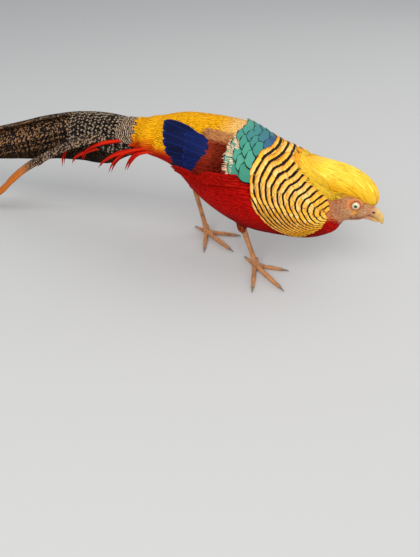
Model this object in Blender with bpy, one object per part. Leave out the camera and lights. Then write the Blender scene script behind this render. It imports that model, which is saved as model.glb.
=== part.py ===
"""A golden pheasant cock, life size, foraging with its head held low.

The bird faces +X with its right side at -Y and stands on z = 0. Station tables are in
millimetres, because that is how a bird is measured; everything built is in metres.
"""

import math

import bpy
from mathutils import Matrix, Vector
from mathutils.bvhtree import BVHTree

MM = 0.001
GAP = 0.3  # mm kept between neighbouring solids
SIDES = (("right", -1), ("left", 1))

# Stations of the lofts: x, z, half width, half height, in mm, along a spine in y = 0.
TORSO = (
    (-136, 140, 12, 9),
    (-118, 137.5, 22, 15),
    (-95, 138.5, 34, 22),
    (-62, 136.5, 41, 32.5),
    (-22, 120.5, 51.5, 49.5),
    (18, 101.5, 52, 53.5),
    (52, 92.5, 47, 50),
    (82, 84, 40, 39),
    (104, 82, 28, 28),
    (114, 83, 16, 17),
    (118, 84, 5, 6),
)
NECK = (
    (22, 117, 44, 35),
    (46, 110, 46, 36),
    (68, 99, 43, 34.5),
    (86, 95, 37, 32),
    (100, 94, 29, 26),
    (111, 95, 19, 19),
)
HEAD = (
    (94, 100.5, 12, 13),
    (104, 100, 15.5, 19),
    (115, 98.5, 17, 22),
    (125, 96, 16, 21.5),
    (133, 93, 13, 16),
    (143, 90.5, 6, 8.5),
)
CREST = (
    (144, 99, 7, 6),
    (139, 107, 12, 10),
    (129, 114.5, 16, 13),
    (114, 120, 18, 15),
    (98, 123.5, 20, 14.5),
    (80, 128, 20, 10.5),
    (64, 132.5, 16, 6),
    (56, 136.5, 7, 2.5),
)
TAIL_BASE = (
    (-114, 138, 22, 16),
    (-134, 132.5, 22, 21),
    (-156, 127, 19, 22),
    (-172, 124, 13, 14),
    (-184, 121, 5, 5),
)
UPPER_BILL = (
    (139.6, 93.3, 6.6, 5.4),
    (147, 91, 5.2, 5),
    (153, 87, 3.6, 4),
    (157, 82, 1.9, 2.6),
    (158.6, 78.4, 0.6, 0.9),
)
LOWER_BILL = (
    (137.4, 84.6, 5.8, 2.6),
    (144, 84, 4.6, 2.6),
    (150, 82, 3, 2.2),
    (154, 79.8, 1.2, 1),
)

# Planes that part the body: a point (x, z) and the tilt of the plane's normal above +X.
TAIL_CUT = ((-122, 139.5), -6)
HEAD_CUT = ((104.5, 99), -23.5)
THROAT_CUT = ((98, 82.5), 70)
BILL_CUT = ((139.2, 93), -31)
FLOOR_CUT = ((0, 0), 90)

EYE = (127, 14.4, 104.1)
EYE_RADIUS = 5.2
LID_RADIUS = 5.6
LID_SQUASH = (1.25, 0.68, 1.1)
NOSTRIL = (146.5, 5.2, 92.2)

# The ruff fans out from the cheek. Its reach in mm is given by the angle in degrees, where 0
# points back along the bird, 90 up and -90 down. Tiers are shares of this reach.
RUFF_CENTRE = (105, 92)
RUFF_REACH = ((-95, 44), (-60, 44), (-44, 46), (-20, 52), (3, 66), (17, 82), (27, 92), (40, 96), (95, 100))
PARTING_SHARE = 0.985
RUFF_TIERS = 6
RUFF_FIRST = 0.2
RUFF_LAST = 0.82
RUFF_LENGTH = 0.2
RUFF_WIDTH = 13.6
MANTLE_TIERS = (1.0, 1.06, 1.12, 1.17)
MANTLE_LENGTH = 0.145
MANTLE_WIDTH = 13
SUNK = 1.4
VANE_THICK = 1.0
VANE_TIP = 1.8
CLEAR = 1.0

# Crest locks: the share of the crest's length where a row is rooted, and how many it holds.
CREST_ROWS = ((0.2, 3), (0.4, 4), (0.6, 3), (0.78, 3))
LOCK = (27, 5.6, 1.7)

# The folded wing: where it starts and ends, the angles from the top that it spans at its front
# and back, and its feathers: root x, angle from the top, length and width.
WING_FRONT = -6
WING_BACK = -66
SCAPULARS = ((-9, 46, 22, 14), (-9, 61, 22, 14), (-9, 75, 21, 12), (-20, 43, 24, 14), (-20, 58, 24, 15),
             (-20, 73, 24, 14))
TERTIALS = ((-31, 60, 36, 17), (-31, 76, 36, 16), (-42, 52, 42, 16), (-42, 66, 42, 17), (-42, 79, 38, 15))
PRIMARIES = ((-32, 84, 40, 9),)
TERTIAL_RISE = 0.5
PRIMARY_RISE = 0.2
WING_TOP = (38, 20)
WING_BOTTOM = (84, 62)

# The tail's ridge (x, z), and its feathers: length, offset from the middle, roll in degrees,
# half width and depth under the ridge, from the middle pair outwards.
TAIL_RIDGE = ((-104, 146), (-150, 151.5), (-190, 150.5), (-230, 142), (-270, 130), (-336, 110),
              (-420, 86), (-520, 61), (-620, 41), (-720, 27), (-828, 17))
TAIL_ROOT = -150
TAIL_FEATHERS = ((677, 9, 35, 17, 6.5), (490, 15, 50, 14, 18), (390, 17, 60, 12, 29), (310, 17, 66, 12, 39),
                 (230, 19, 72, 11, 45))
SPLAYED = ((-146, 12, 136), (-172, 29, 134), (-197, 33, 126), (-222, 35, 114), (-247, 35, 101), (-275, 35, 83),
           (-305, 35, 61), (-333, 35, 39), (-372, 35, 17))
SPEARS = (
    ((-150, 12, 126), (-190, 28, 110), (-258, 30, 88)),
    ((-146, 13, 124), (-178, 28, 108), (-220, 30, 91)),
    ((-142, 13, 126), (-160, 27, 118), (-186, 30, 104)),
    ((-138, 12, 123), (-146, 25, 112), (-155, 29, 97)),
    ((-133, 13, 126), (-135, 24, 117), (-134, 28, 105)),
)
COVERTS = ((-130, 5, 44, 9), (-130, 15, 40, 9), (-148, 9, 48, 9))

# The legs: the middle of the foot, the hock inside the belly, and the toes' spread.
FEET = {"right": (30, -25), "left": (-50, 20)}
HOCKS = {"right": (4, -25, 76), "left": (-69, 22, 76)}
FOOT_HEADING = {"right": -36, "left": -30}
FOOT_TOP = 15
TARSUS_RADIUS = 2.8
THIGH_END = {"right": 50, "left": 66}
TOES = {
    "outer": (-42, 38, 2.5),
    "middle": (0, 45, 2.8),
    "inner": (44, 33, 2.5),
    "hind": (176, 16, 2.2),
}
# Along a toe: the share of its length, and its height and thickness as shares of its radius.
TOE_STATIONS = ((0.0, 1.9, 1.1), (0.2, 1.53, 1.05), (0.42, 0.97, 0.92), (0.62, 0.94, 0.98), (0.82, 0.76, 0.8),
                (1.0, 0.68, 0.74))
CLAW = 9


def vector(x, y, z):
    """A point given in mm, as a vector in metres."""
    return Vector((x, y, z)) * MM


def clear_scene():
    for obj in list(bpy.data.objects):
        bpy.data.objects.remove(obj)


def material(name, colour, roughness, metallic=0.0):
    """A plain Principled material, made once for each name."""
    found = bpy.data.materials.get(name)
    if found:
        return found
    made = bpy.data.materials.new(name)
    made.use_nodes = True
    shader = made.node_tree.nodes["Principled BSDF"]
    shader.inputs["Base Color"].default_value = (*colour, 1.0)
    shader.inputs["Roughness"].default_value = roughness
    shader.inputs["Metallic"].default_value = metallic
    made.diffuse_color = (*colour, 1.0)
    return made


SCARLET = ("scarlet feather", (0.62, 0.01, 0.01), 0.6)
GOLD = ("golden feather", (0.95, 0.62, 0.05), 0.5)
RUFF = ("barred ruff feather", (0.9, 0.5, 0.06), 0.55)
BLUE = ("blue wing feather", (0.02, 0.04, 0.22), 0.4)
BROWN = ("mottled tail feather", (0.3, 0.18, 0.09), 0.6)
SKIN = ("face", (0.72, 0.3, 0.15), 0.6)
HORN = ("horn", (0.75, 0.5, 0.2), 0.4)
SCALE = ("scaly leg", (0.7, 0.42, 0.2), 0.5)
EYEBALL = ("eyeball", (0.9, 0.88, 0.7), 0.1)


def mesh_object(name, points, faces, finish):
    """An object from points in metres and faces that run anticlockwise seen from outside."""
    mesh = bpy.data.meshes.new(name)
    mesh.from_pydata([tuple(p) for p in points], [], faces)
    mesh.materials.append(material(*finish))
    mesh.validate()
    obj = bpy.data.objects.new(name, mesh)
    bpy.context.scene.collection.objects.link(obj)
    return obj


def spline(rows, count):
    """A Catmull-Rom curve through the rows, as count rows spaced evenly by row number."""
    last = len(rows) - 1
    made = []
    for i in range(count):
        place = i / (count - 1) * last
        k = min(int(place), last - 1)
        u = place - k
        a, b, c, d = rows[max(k - 1, 0)], rows[k], rows[k + 1], rows[min(k + 2, last)]
        made.append(
            tuple(
                0.5 * (2 * q + (r - p) * u + (2 * p - 5 * q + 4 * r - s) * u * u
                       + (3 * q - p - 3 * r + s) * u ** 3)
                for p, q, r, s in zip(a, b, c, d)
            )
        )
    return made


def rings_of(rows, count, segments, grow=0.0, belly=0.0, y=0.0):
    """Rings square to a spine in the plane y. grow thickens them, belly flattens below."""
    rows = spline(rows, count)
    rings = []
    for i, (x, z, wide, high) in enumerate(rows):
        before, after = rows[max(i - 1, 0)], rows[min(i + 1, count - 1)]
        along = Vector((after[0] - before[0], 0, after[1] - before[1])).normalized()
        up = Vector((0, 1, 0)).cross(along) * -1
        ring = []
        for k in range(segments):
            turn = 2 * math.pi * (k + 0.5) / segments
            lift = math.cos(turn)
            if lift < 0:
                lift *= 1 - belly * lift ** 4
            offset = up * lift * (high + grow) + Vector((0, 1, 0)) * math.sin(turn) * (wide + grow)
            ring.append((Vector((x, y, z)) + offset) * MM)
        rings.append(ring)
    return rings


def skin_rings(rings, flip=False):
    """Points and faces of a closed tube through rings of equal count, ends capped by fans."""
    n = len(rings[0])
    points = [p for ring in rings for p in ring]
    faces = []
    for i in range(len(rings) - 1):
        for k in range(n):
            a, b = i * n + k, i * n + (k + 1) % n
            faces += [(a, b, b + n), (a, b + n, a + n)]
    for ring, first, turn in ((rings[0], 0, True), (rings[-1], (len(rings) - 1) * n, False)):
        middle = len(points)
        points.append(sum(ring, Vector()) / n)
        for k in range(n):
            a, b = first + k, first + (k + 1) % n
            faces.append((middle, b, a) if turn else (middle, a, b))
    return points, [f[::-1] for f in faces] if flip else faces


def volume_sign(points, faces):
    return sum(
        points[f[0]].dot(points[f[i]].cross(points[f[i + 1]]))
        for f in faces
        for i in range(1, len(f) - 1)
    )


def loft(name, rows, count, segments, finish, **shape):
    """A closed loft through the rows."""
    points, faces = skin_rings(rings_of(rows, count, segments, **shape))
    if volume_sign(points, faces) < 0:
        faces = [f[::-1] for f in faces]
    return mesh_object(name, points, faces, finish)


def apply_modifiers(obj):
    """Replaces the object's mesh by what its modifiers make of it."""
    graph = bpy.context.evaluated_depsgraph_get()
    mesh = bpy.data.meshes.new_from_object(obj.evaluated_get(graph))
    obj.modifiers.clear()
    obj.data = mesh


def keep_largest(obj):
    """Keeps the closed surface with the largest box, and drops scraps and sealed hollows."""
    mesh = obj.data
    root = list(range(len(mesh.vertices)))

    def find(i):
        while root[i] != i:
            root[i] = root[root[i]]
            i = root[i]
        return i

    for edge in mesh.edges:
        a, b = (find(v) for v in edge.vertices)
        root[a] = b
    groups = {}
    for v in mesh.vertices:
        groups.setdefault(find(v.index), []).append(v.co)
    if len(groups) == 1:
        return

    def size(key):
        sides = [[co[axis] for co in groups[key]] for axis in range(3)]
        return math.prod(max(side) - min(side) for side in sides)

    largest = max(groups, key=size)
    kept = [v.index for v in mesh.vertices if find(v.index) == largest]
    number = {old: new for new, old in enumerate(kept)}
    faces = [
        [number[v] for v in f.vertices] for f in mesh.polygons if f.vertices[0] in number
    ]
    points = [mesh.vertices[i].co.copy() for i in kept]
    finish = mesh.materials[0]
    made = bpy.data.meshes.new(obj.name)
    made.from_pydata(points, [], faces)
    made.materials.append(finish)
    obj.data = made


def combine(obj, others, operation, solver="EXACT"):
    """One Boolean of obj with a collection of closed meshes, applied; the others go."""
    if not others:
        return obj
    group = bpy.data.collections.new(obj.name + " pieces")
    bpy.context.scene.collection.children.link(group)
    for other in others:
        bpy.context.scene.collection.objects.unlink(other)
        group.objects.link(other)
    modifier = obj.modifiers.new("combine", "BOOLEAN")
    modifier.operation = operation
    modifier.solver = solver
    modifier.operand_type = "COLLECTION"
    modifier.collection = group
    apply_modifiers(obj)
    for other in others:
        bpy.data.objects.remove(other)
    bpy.data.collections.remove(group)
    keep_largest(obj)
    return obj


def head_block():
    """A block that holds the head: all ahead of the neck's parting and above the throat's."""
    return combine(half_space(HEAD_CUT, ahead=True), [half_space(THROAT_CUT, ahead=True)], "INTERSECT")


def half_space(plane, ahead, inset=0.0):
    """A block that fills one side of a plane across the bird, ahead of it or behind it."""
    (x, z), tilt = plane
    normal = Vector((math.cos(math.radians(tilt)), 0, math.sin(math.radians(tilt))))
    if not ahead:
        normal = -normal
    reach = 400
    face = Vector((x, 0, z)) + normal * inset
    across = Vector((0, 1, 0))
    up = normal.cross(across)
    corners = [
        (face + normal * depth * reach + across * a * reach + up * b * reach) * MM
        for depth in (0, 1)
        for a, b in ((-1, -1), (1, -1), (1, 1), (-1, 1))
    ]
    faces = [(0, 1, 2, 3), (7, 6, 5, 4), (0, 4, 5, 1), (1, 5, 6, 2), (2, 6, 7, 3), (3, 7, 4, 0)]
    if volume_sign(corners, faces) < 0:
        faces = [f[::-1] for f in faces]
    return mesh_object("cutter", corners, faces, SKIN)


def whole_body(grow=0.0, fine=1):
    """Torso, neck and head as one closed form, before it is parted. fine multiplies its facets."""
    torso = loft("body form", TORSO, 24 * fine, 24 * fine, SCARLET, grow=grow, belly=0.1)
    neck = loft("neck form", NECK, 12 * fine, 24 * fine, RUFF, grow=grow)
    head = loft("head form", HEAD, 12 * fine, 20 * fine, SKIN, grow=grow)
    return combine(torso, [neck, head], "UNION", solver="EXACT" if fine == 1 else "MANIFOLD")


def reach_of(turn):
    """The ruff's reach in mm at an angle in degrees."""
    for (a, low), (b, high) in zip(RUFF_REACH, RUFF_REACH[1:]):
        if turn <= b:
            return low + (high - low) * max(turn - a, 0) / (b - a)
    return RUFF_REACH[-1][1]


def fan_point(turn, share, extra=0.0):
    """The (x, z) of the place at an angle and a share of the ruff's reach there."""
    radius = reach_of(turn) * share + extra
    angle = math.radians(turn)
    return RUFF_CENTRE[0] - radius * math.cos(angle), RUFF_CENTRE[1] + radius * math.sin(angle)


def fan_prism(share, extra=0.0):
    """A block across the bird that holds all within a share of the ruff's reach, and the head."""
    outline = [fan_point(turn, share, extra) for turn in range(-90, 91, 6)]
    outline += [(300, outline[-1][1]), (300, outline[0][1])]
    n = len(outline)
    points = [vector(x, y, z) for y in (-200, 200) for x, z in outline]
    faces = [tuple(range(n)), tuple(range(2 * n - 1, n - 1, -1))]
    faces += [(k, (k + 1) % n, n + (k + 1) % n, n + k) for k in range(n)]
    if volume_sign(points, faces) < 0:
        faces = [f[::-1] for f in faces]
    return mesh_object("cutter", points, faces, SKIN)


def follow(search, start, way, length, shares, heights):
    """Stations along a surface: place, normal and side, at shares of a length and given heights.

    All lengths are in mm. The walk keeps to the surface, turning with it.
    """
    place, normal = search.find_nearest(start * MM)[:2]
    place = place / MM
    stations = []
    gone = 0.0
    for share, height in zip(shares, heights):
        target = share * length
        while gone < target - 1e-6:
            step = min(2.5, target - gone)
            way = (way - normal * way.dot(normal)).normalized()
            found, fresh = search.find_nearest((place + way * step) * MM)[:2]
            place = found / MM
            normal = (normal * 0.5 + fresh * 0.5).normalized()
            gone += step
        way = (way - normal * way.dot(normal)).normalized()
        stations.append((place + normal * height, normal, normal.cross(way)))
    return stations


def vane(stations, widths, thick, finish, camber=0.12):
    """A feather's vane: a thin diamond section along its stations, which comes to a point."""
    points = []
    last = len(stations) - 1
    for i, (place, normal, side) in enumerate(stations[:-1]):
        edge = side * widths[i]
        sag = normal * (camber * widths[i])
        deep = normal * (thick * (1 - 0.35 * i / last) / 2)
        points += [place - edge - sag, place + deep, place + edge - sag, place - deep]
    points.append(stations[-1][0])
    tip = 4 * last
    faces = [(0, 3, 1), (1, 3, 2)]
    for a in range(0, tip - 4, 4):
        for edge, middle, turn in ((0, 1, 1), (2, 1, -1), (2, 3, 1), (0, 3, -1)):
            one = (a + edge, a + middle, a + 4 + edge)
            two = (a + middle, a + 4 + middle, a + 4 + edge)
            faces += [one[::turn], two[::turn]]
    faces += [(tip - 4 + k, tip - 4 + (k + 1) % 4, tip) for k in range(4)]
    points = [p * MM for p in points]
    if volume_sign(points, faces) < 0:
        faces = [f[::-1] for f in faces]
    return mesh_object("vane", points, faces, finish)


def near(search, points, distance):
    """Whether any of these points, in mm, is within a distance of a closed surface or inside it."""
    for point in points:
        place, normal = search.find_nearest(point * MM)[:2]
        away = point - place / MM
        if away.length < distance or away.dot(normal) < 0:
            return True
    return False


def fan_tier(search, share, low, spacing, offset):
    """Roots along one tier of the fan, on the bird's right: (angle, place) from the top down."""
    arc = []
    for k in range(int((100 - low) * 2)):
        turn = 100 - k / 2
        x, z = fan_point(turn, share)
        place = search.ray_cast(vector(x, -200, z), Vector((0, 1, 0)))[0]
        if place:
            arc.append((turn, place / MM))
    roots = []
    gone, wanted = 0.0, offset * spacing
    for (_, here), (turn, there) in zip(arc, arc[1:]):
        gone += (there - here).length
        if gone >= wanted:
            roots.append((turn, there))
            wanted += spacing
    return roots


def fan_vane(search, turn, root, side, length, width, finish, blunt):
    """One vane rooted on the fan and lying away from the cheek."""
    angle = math.radians(turn)
    way = Vector((-math.cos(angle), 0, math.sin(angle)))
    root = Vector((root.x, root.y * -side, root.z))
    shares = (0.0, 0.5, 0.85, 1.0)
    heights = [-SUNK + (VANE_TIP + SUNK) * share for share in shares]
    stations = follow(search, root, way, length, shares, heights)
    widths = (width * 0.28, width * 0.485, width * blunt)
    return stations, widths, finish


def clear_vanes(plans, guards):
    """Makes the planned vanes that keep clear of every guarding surface."""
    made = []
    for stations, widths, finish in plans:
        edge = [p + s * (w * k) for (p, _, s), w in zip(stations, (*widths, 0)) for k in (-1, 0, 1)]
        if not any(near(guard, edge, CLEAR) for guard in guards):
            made.append(vane(stations, widths, VANE_THICK, finish))
    return made


def copy_of(obj, name):
    made = bpy.data.objects.new(name, obj.data.copy())
    bpy.context.scene.collection.objects.link(made)
    return made


def surface_of(obj):
    """A search tree over an object's faces, in world space."""
    mesh = obj.data
    return BVHTree.FromPolygons(
        [obj.matrix_world @ v.co for v in mesh.vertices], [tuple(p.vertices) for p in mesh.polygons]
    )


def sphere(name, centre, radius, finish, rings=10, segments=16, squash=(1, 1, 1)):
    """A closed ball about a point in mm."""
    made = []
    for i in range(1, rings):
        turn = math.pi * i / rings
        made.append(
            [
                vector(
                    centre[0] + squash[0] * radius * math.sin(turn) * math.cos(2 * math.pi * k / segments),
                    centre[1] + squash[1] * radius * math.cos(turn),
                    centre[2] + squash[2] * radius * math.sin(turn) * math.sin(2 * math.pi * k / segments),
                )
                for k in range(segments)
            ]
        )
    points, faces = skin_rings(made)
    points[-2] = vector(centre[0], centre[1] + squash[1] * radius, centre[2])
    points[-1] = vector(centre[0], centre[1] - squash[1] * radius, centre[2])
    if volume_sign(points, faces) < 0:
        faces = [f[::-1] for f in faces]
    return mesh_object(name, points, faces, finish)


def tube(name, path, radii, finish, segments=8):
    """A closed tube along points in mm."""
    rings = []
    side = Vector((0, 1, 0))
    for i, (point, radius) in enumerate(zip(path, radii)):
        along = (Vector(path[min(i + 1, len(path) - 1)]) - Vector(path[max(i - 1, 0)])).normalized()
        level = along.cross(Vector((0, 0, 1)))
        if level.length > 0.05:
            side = level.normalized() * (1 if i == 0 or level.dot(side) > 0 else -1)
        up = side.cross(along)
        ring = []
        for k in range(segments):
            turn = 2 * math.pi * (k + 0.5) / segments
            ring.append((Vector(point) + (side * math.cos(turn) + up * math.sin(turn)) * radius) * MM)
        rings.append(ring)
    points, faces = skin_rings(rings)
    if volume_sign(points, faces) < 0:
        faces = [f[::-1] for f in faces]
    return mesh_object(name, points, faces, finish)


def build_head(body):
    """The head with a rim of lids round each eye, and the eyes themselves."""
    head = combine(
        copy_of(body, "head"),
        [
            half_space(HEAD_CUT, ahead=False, inset=-GAP),
            half_space(THROAT_CUT, ahead=False, inset=-GAP),
            half_space(BILL_CUT, ahead=True, inset=-GAP),
        ],
        "DIFFERENCE",
    )
    head.data.materials[0] = material(*SKIN)
    for name, side in SIDES:
        x, y, z = EYE
        centre = (x, side * y, z)
        lid = sphere("lid", (x, side * (y - 0.6), z), LID_RADIUS, SKIN, rings=8, segments=12, squash=LID_SQUASH)
        combine(head, [lid], "UNION")
        socket = sphere("socket", centre, EYE_RADIUS + GAP, SKIN, rings=9, segments=12)
        combine(head, [socket], "DIFFERENCE")
        sphere("eye_" + name, centre, EYE_RADIUS, EYEBALL, rings=9, segments=14)
    return head


def build_crest(grown):
    """The silky crest: a smooth form with pointed locks that lie back along it."""
    crest = loft("crest", CREST, 13, 12, GOLD)
    search = surface_of(crest)
    rows = spline(CREST, 101)
    locks = []
    for row, (share, count) in enumerate(CREST_ROWS):
        x, z, wide, high = rows[int(share * 100)]
        ahead = rows[int(share * 100) + 2]
        way = Vector((ahead[0] - x, 0, ahead[1] - z)).normalized()
        up = Vector((0, 1, 0)).cross(way)
        for k in range(count):
            turn = math.radians(62 * (2 * k / (count - 1) - 1))
            start = Vector((x, 0, z)) + up * math.cos(turn) * high + Vector((0, 1, 0)) * math.sin(turn) * wide
            length, width, thick = LOCK
            reach = length * (1 - 0.07 * row)
            stations = follow(search, start, way, reach, (0, 0.4, 0.75, 1), (-1.6, 0.1, 0.8, 1.5))
            locks.append(vane(stations, (width * 0.3, width * 0.5, width * 0.34), thick, GOLD))
    combine(crest, locks, "UNION")
    combine(crest, [copy_of(grown, "cutter")], "DIFFERENCE")
    x, y, z = EYE
    for _, side in SIDES:
        around = sphere("cutter", (x, side * y, z), EYE_RADIUS + 1.6, SKIN, squash=(1.25, 1, 1.1))
        combine(crest, [around], "DIFFERENCE")
    return crest


def build_neck(body, guide, grown, crest):
    """The neck with its ruff of barred feathers in tiers round the cheek."""
    neck = combine(copy_of(body, "neck"), [fan_prism(PARTING_SHARE)], "INTERSECT")
    neck.data.materials[0] = material(*RUFF)
    search, guard = surface_of(guide), surface_of(crest)
    plans = []
    for tier in range(RUFF_TIERS):
        share = RUFF_FIRST + (RUFF_LAST - RUFF_FIRST) * tier / (RUFF_TIERS - 1)
        for turn, root in fan_tier(search, share, -72, RUFF_WIDTH, 0.5 if tier % 2 else 0.02):
            length = max(RUFF_LENGTH * reach_of(turn), 9)
            for _, side in SIDES:
                plans.append(fan_vane(search, turn, root, side, length, RUFF_WIDTH, RUFF, 0.38))
    combine(neck, clear_vanes(plans, [guard]), "UNION")
    torso_guard = combine(copy_of(grown, "cutter"), [fan_prism(PARTING_SHARE)], "DIFFERENCE")
    combine(neck, [head_block(), torso_guard], "DIFFERENCE")
    return neck


def build_torso(body, guide):
    """The torso with the mantle of rounded feathers behind the ruff."""
    torso = copy_of(body, "torso")
    search = surface_of(guide)
    plans = []
    for tier, share in enumerate(MANTLE_TIERS):
        low = 21 + 30 * (share - 1)
        for turn, root in fan_tier(search, share, low, MANTLE_WIDTH, 0.5 if tier % 2 else 0.02):
            for _, side in SIDES:
                length = MANTLE_LENGTH * reach_of(turn)
                plans.append(fan_vane(search, turn, root, side, length, MANTLE_WIDTH, SCARLET, 0.36))
    combine(torso, clear_vanes(plans, []), "UNION")
    cutters = [half_space(TAIL_CUT, ahead=False), fan_prism(PARTING_SHARE, extra=0.45)]
    return combine(torso, cutters, "DIFFERENCE")


def build_bill():
    """Both halves of the bill, cut square to meet the face, with a nostril on each side."""
    upper = combine(
        loft("bill_upper", UPPER_BILL, 10, 12, HORN),
        [half_space(BILL_CUT, ahead=False, inset=-GAP)],
        "DIFFERENCE",
    )
    x, y, z = NOSTRIL
    holes = [
        sphere("cutter", (x, side * y, z), 1.3, HORN, rings=6, segments=8, squash=(1.5, 1, 0.7))
        for _, side in SIDES
    ]
    combine(upper, holes, "DIFFERENCE")
    combine(
        loft("bill_lower", LOWER_BILL, 8, 10, HORN),
        [half_space(BILL_CUT, ahead=False, inset=-GAP), loft("cut", UPPER_BILL, 10, 12, HORN, grow=GAP)],
        "DIFFERENCE",
    )


def build_leg(name, side, torso_grown):
    """One leg: a feathered thigh, a bare shank with its spur, and a foot with four clawed toes."""
    foot_x, foot_y = FEET[name]
    hock = Vector(HOCKS[name])
    ankle = Vector((foot_x, foot_y, 8))
    shank = ankle - hock

    def on_shank(z):
        return hock + shank * ((hock.z - z) / (hock.z - ankle.z))

    end = THIGH_END[name]
    thigh_path = [hock + Vector((22, 0, 32)), hock + Vector((12, 0, 18)), on_shank(end + 9), on_shank(end)]
    thigh = tube("thigh_" + name, thigh_path, (15, 12.5, 7, 4.5), SCARLET, segments=12)
    combine(thigh, [copy_of(torso_grown, "cutter")], "DIFFERENCE")

    foot_floor = on_shank(FOOT_TOP)
    top = on_shank(end)
    down = shank.normalized()
    shank_path = [top + down * GAP * 1.2, top + down * 6, on_shank(38), on_shank(26), foot_floor - down * GAP]
    tube("shank_" + name, shank_path, (3.6, 3.1, TARSUS_RADIUS, 2.8, 3.3), SCALE, segments=10)

    heading = FOOT_HEADING[name]
    hub = tube(
        "foot_" + name,
        [foot_floor, ankle, Vector((foot_x + 1, foot_y, 4)), Vector((foot_x + 1, foot_y, -3))],
        (3.4, 4.4, 4.8, 4.4),
        SCALE,
        segments=9,
    )
    toes = []
    for toe, (splay, length, radius) in TOES.items():
        turn = math.radians(heading - side * splay)
        way = Vector((math.cos(turn), math.sin(turn), 0))
        start = Vector((foot_x, foot_y, 0))
        path = [start + way * (length * share) + Vector((0, 0, lift * radius)) for share, lift, _ in TOE_STATIONS]
        toes.append(tube("toe", path, [radius * thick for _, _, thick in TOE_STATIONS], SCALE, segments=7))
        end = path[-1]
        reach = CLAW if toe != "hind" else CLAW - 2
        claw_path = [
            end + way * 0.6,
            end + way * 2.4,
            end + way * (reach * 0.7) + Vector((0, 0, 0.1)),
            end + way * reach + Vector((0, 0, -1.2)),
        ]
        tube(f"claw_{name}_{toe}", claw_path, (1.5, 1.35, 0.9, 0.35), HORN, segments=6)
    combine(hub, toes, "UNION")
    combine(hub, [half_space(FLOOR_CUT, ahead=False)], "DIFFERENCE")


def ridge_height(x):
    """Height of the tail's ridge at x, both in mm."""
    rows = spline(TAIL_RIDGE, 12 * len(TAIL_RIDGE))
    for (near_x, near_z), (far_x, far_z) in zip(rows, rows[1:]):
        if far_x <= x <= near_x:
            return near_z + (far_z - near_z) * (near_x - x) / (near_x - far_x)
    return rows[0][1] if x > rows[0][0] else rows[-1][1]


def tail_feather(side, length, offset, roll, half, depth):
    """One long feather of the tail, rolled to its side like one slope of a roof."""
    angle = math.radians(roll)
    normal = Vector((0, side * math.sin(angle), math.cos(angle)))
    shares = (0.0, 0.1, 0.25, 0.42, 0.6, 0.76, 0.9, 1.0)
    swell = (0.45, 0.8, 1.0, 1.0, 0.88, 0.7, 0.42)
    stations = []
    for share in shares:
        x = TAIL_ROOT - length * share
        close = 1 - 0.75 * share
        gather = min(1.0, 0.45 + 3 * share)
        stations.append((Vector((x, side * offset * close * gather, ridge_height(x) - depth * (1 - 0.45 * share)))))
    made = []
    for i, place in enumerate(stations):
        along = (stations[min(i + 1, len(stations) - 1)] - stations[max(i - 1, 0)]).normalized()
        upright = (normal - along * normal.dot(along)).normalized()
        made.append((place, upright, upright.cross(along)))
    return vane(made, [half * part for part in swell], 1.7, BROWN, camber=0.16)


def curved_vane(side, path, half, roll, finish, count=6, thick=1.3):
    """A vane along a smooth path through a few points."""
    angle = math.radians(roll)
    normal = Vector((0, side * math.sin(angle), math.cos(angle)))
    places = [Vector((x, side * y, z)) for x, y, z in spline(path, count)]
    made = []
    for i, place in enumerate(places):
        along = (places[min(i + 1, count - 1)] - places[max(i - 1, 0)]).normalized()
        upright = (normal - along * normal.dot(along)).normalized()
        made.append((place, upright, upright.cross(along)))
    widths = [half * math.sin(math.pi * (0.12 + 0.8 * i / (count - 1))) ** 0.8 for i in range(count - 1)]
    return vane(made, widths, thick, finish)


def build_tail():
    """The tail: a feathered root, five pairs of long feathers, coverts and scarlet spears."""
    tail = loft("tail", TAIL_BASE, 8, 12, BROWN)
    vanes = []
    for _, side in SIDES:
        vanes += [tail_feather(side, *sizes) for sizes in TAIL_FEATHERS]
        vanes += [curved_vane(side, path, 5.5, 50, SCARLET, count=5) for path in SPEARS]
        for x, y, length, half in COVERTS:
            share = min(y / 24, 1)
            path = [
                (x - length * k / 2, y + k, ridge_height(x - length * k / 2) - 4 - 9 * share ** 2 + 1.5 * k)
                for k in range(3)
            ]
            vanes.append(curved_vane(side, path, half, 8 + 40 * share, BROWN, count=5))
    vanes.append(curved_vane(-1, SPLAYED, 8.5, 35, BROWN, count=9, thick=1.5))
    combine(tail, vanes, "UNION")
    combine(tail, [half_space(TAIL_CUT, ahead=True, inset=-GAP)], "DIFFERENCE")


def plate(name, outer, inner, finish):
    """A closed curved plate between two grids of points, split alike on both faces."""
    rows, columns = len(outer), len(outer[0])
    points = [p for row in outer for p in row] + [p for row in inner for p in row]
    under = rows * columns
    faces = []
    for i in range(rows - 1):
        for k in range(columns - 1):
            a, b = i * columns + k, (i + 1) * columns + k
            faces += [(a, a + 1, b + 1), (a, b + 1, b)]
            faces += [(under + b + 1, under + a + 1, under + a), (under + b, under + b + 1, under + a)]
    edge = list(range(columns))
    edge += [i * columns + columns - 1 for i in range(1, rows)]
    edge += [(rows - 1) * columns + k for k in range(columns - 2, -1, -1)]
    edge += [i * columns for i in range(rows - 2, 0, -1)]
    for a, b in zip(edge, edge[1:] + edge[:1]):
        faces += [(b, a, under + a), (b, under + a, under + b)]
    if volume_sign(points, faces) < 0:
        faces = [f[::-1] for f in faces]
    return mesh_object(name, points, faces, finish)


def on_side(search, x, turn, side):
    """The place on the body's surface at x, at an angle in degrees from the top, and its normal."""
    angle = math.radians(turn)
    middle = Vector((x, 0, 125)) * MM
    return search.ray_cast(middle, Vector((0, side * math.sin(angle), math.cos(angle))))[:2]


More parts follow.
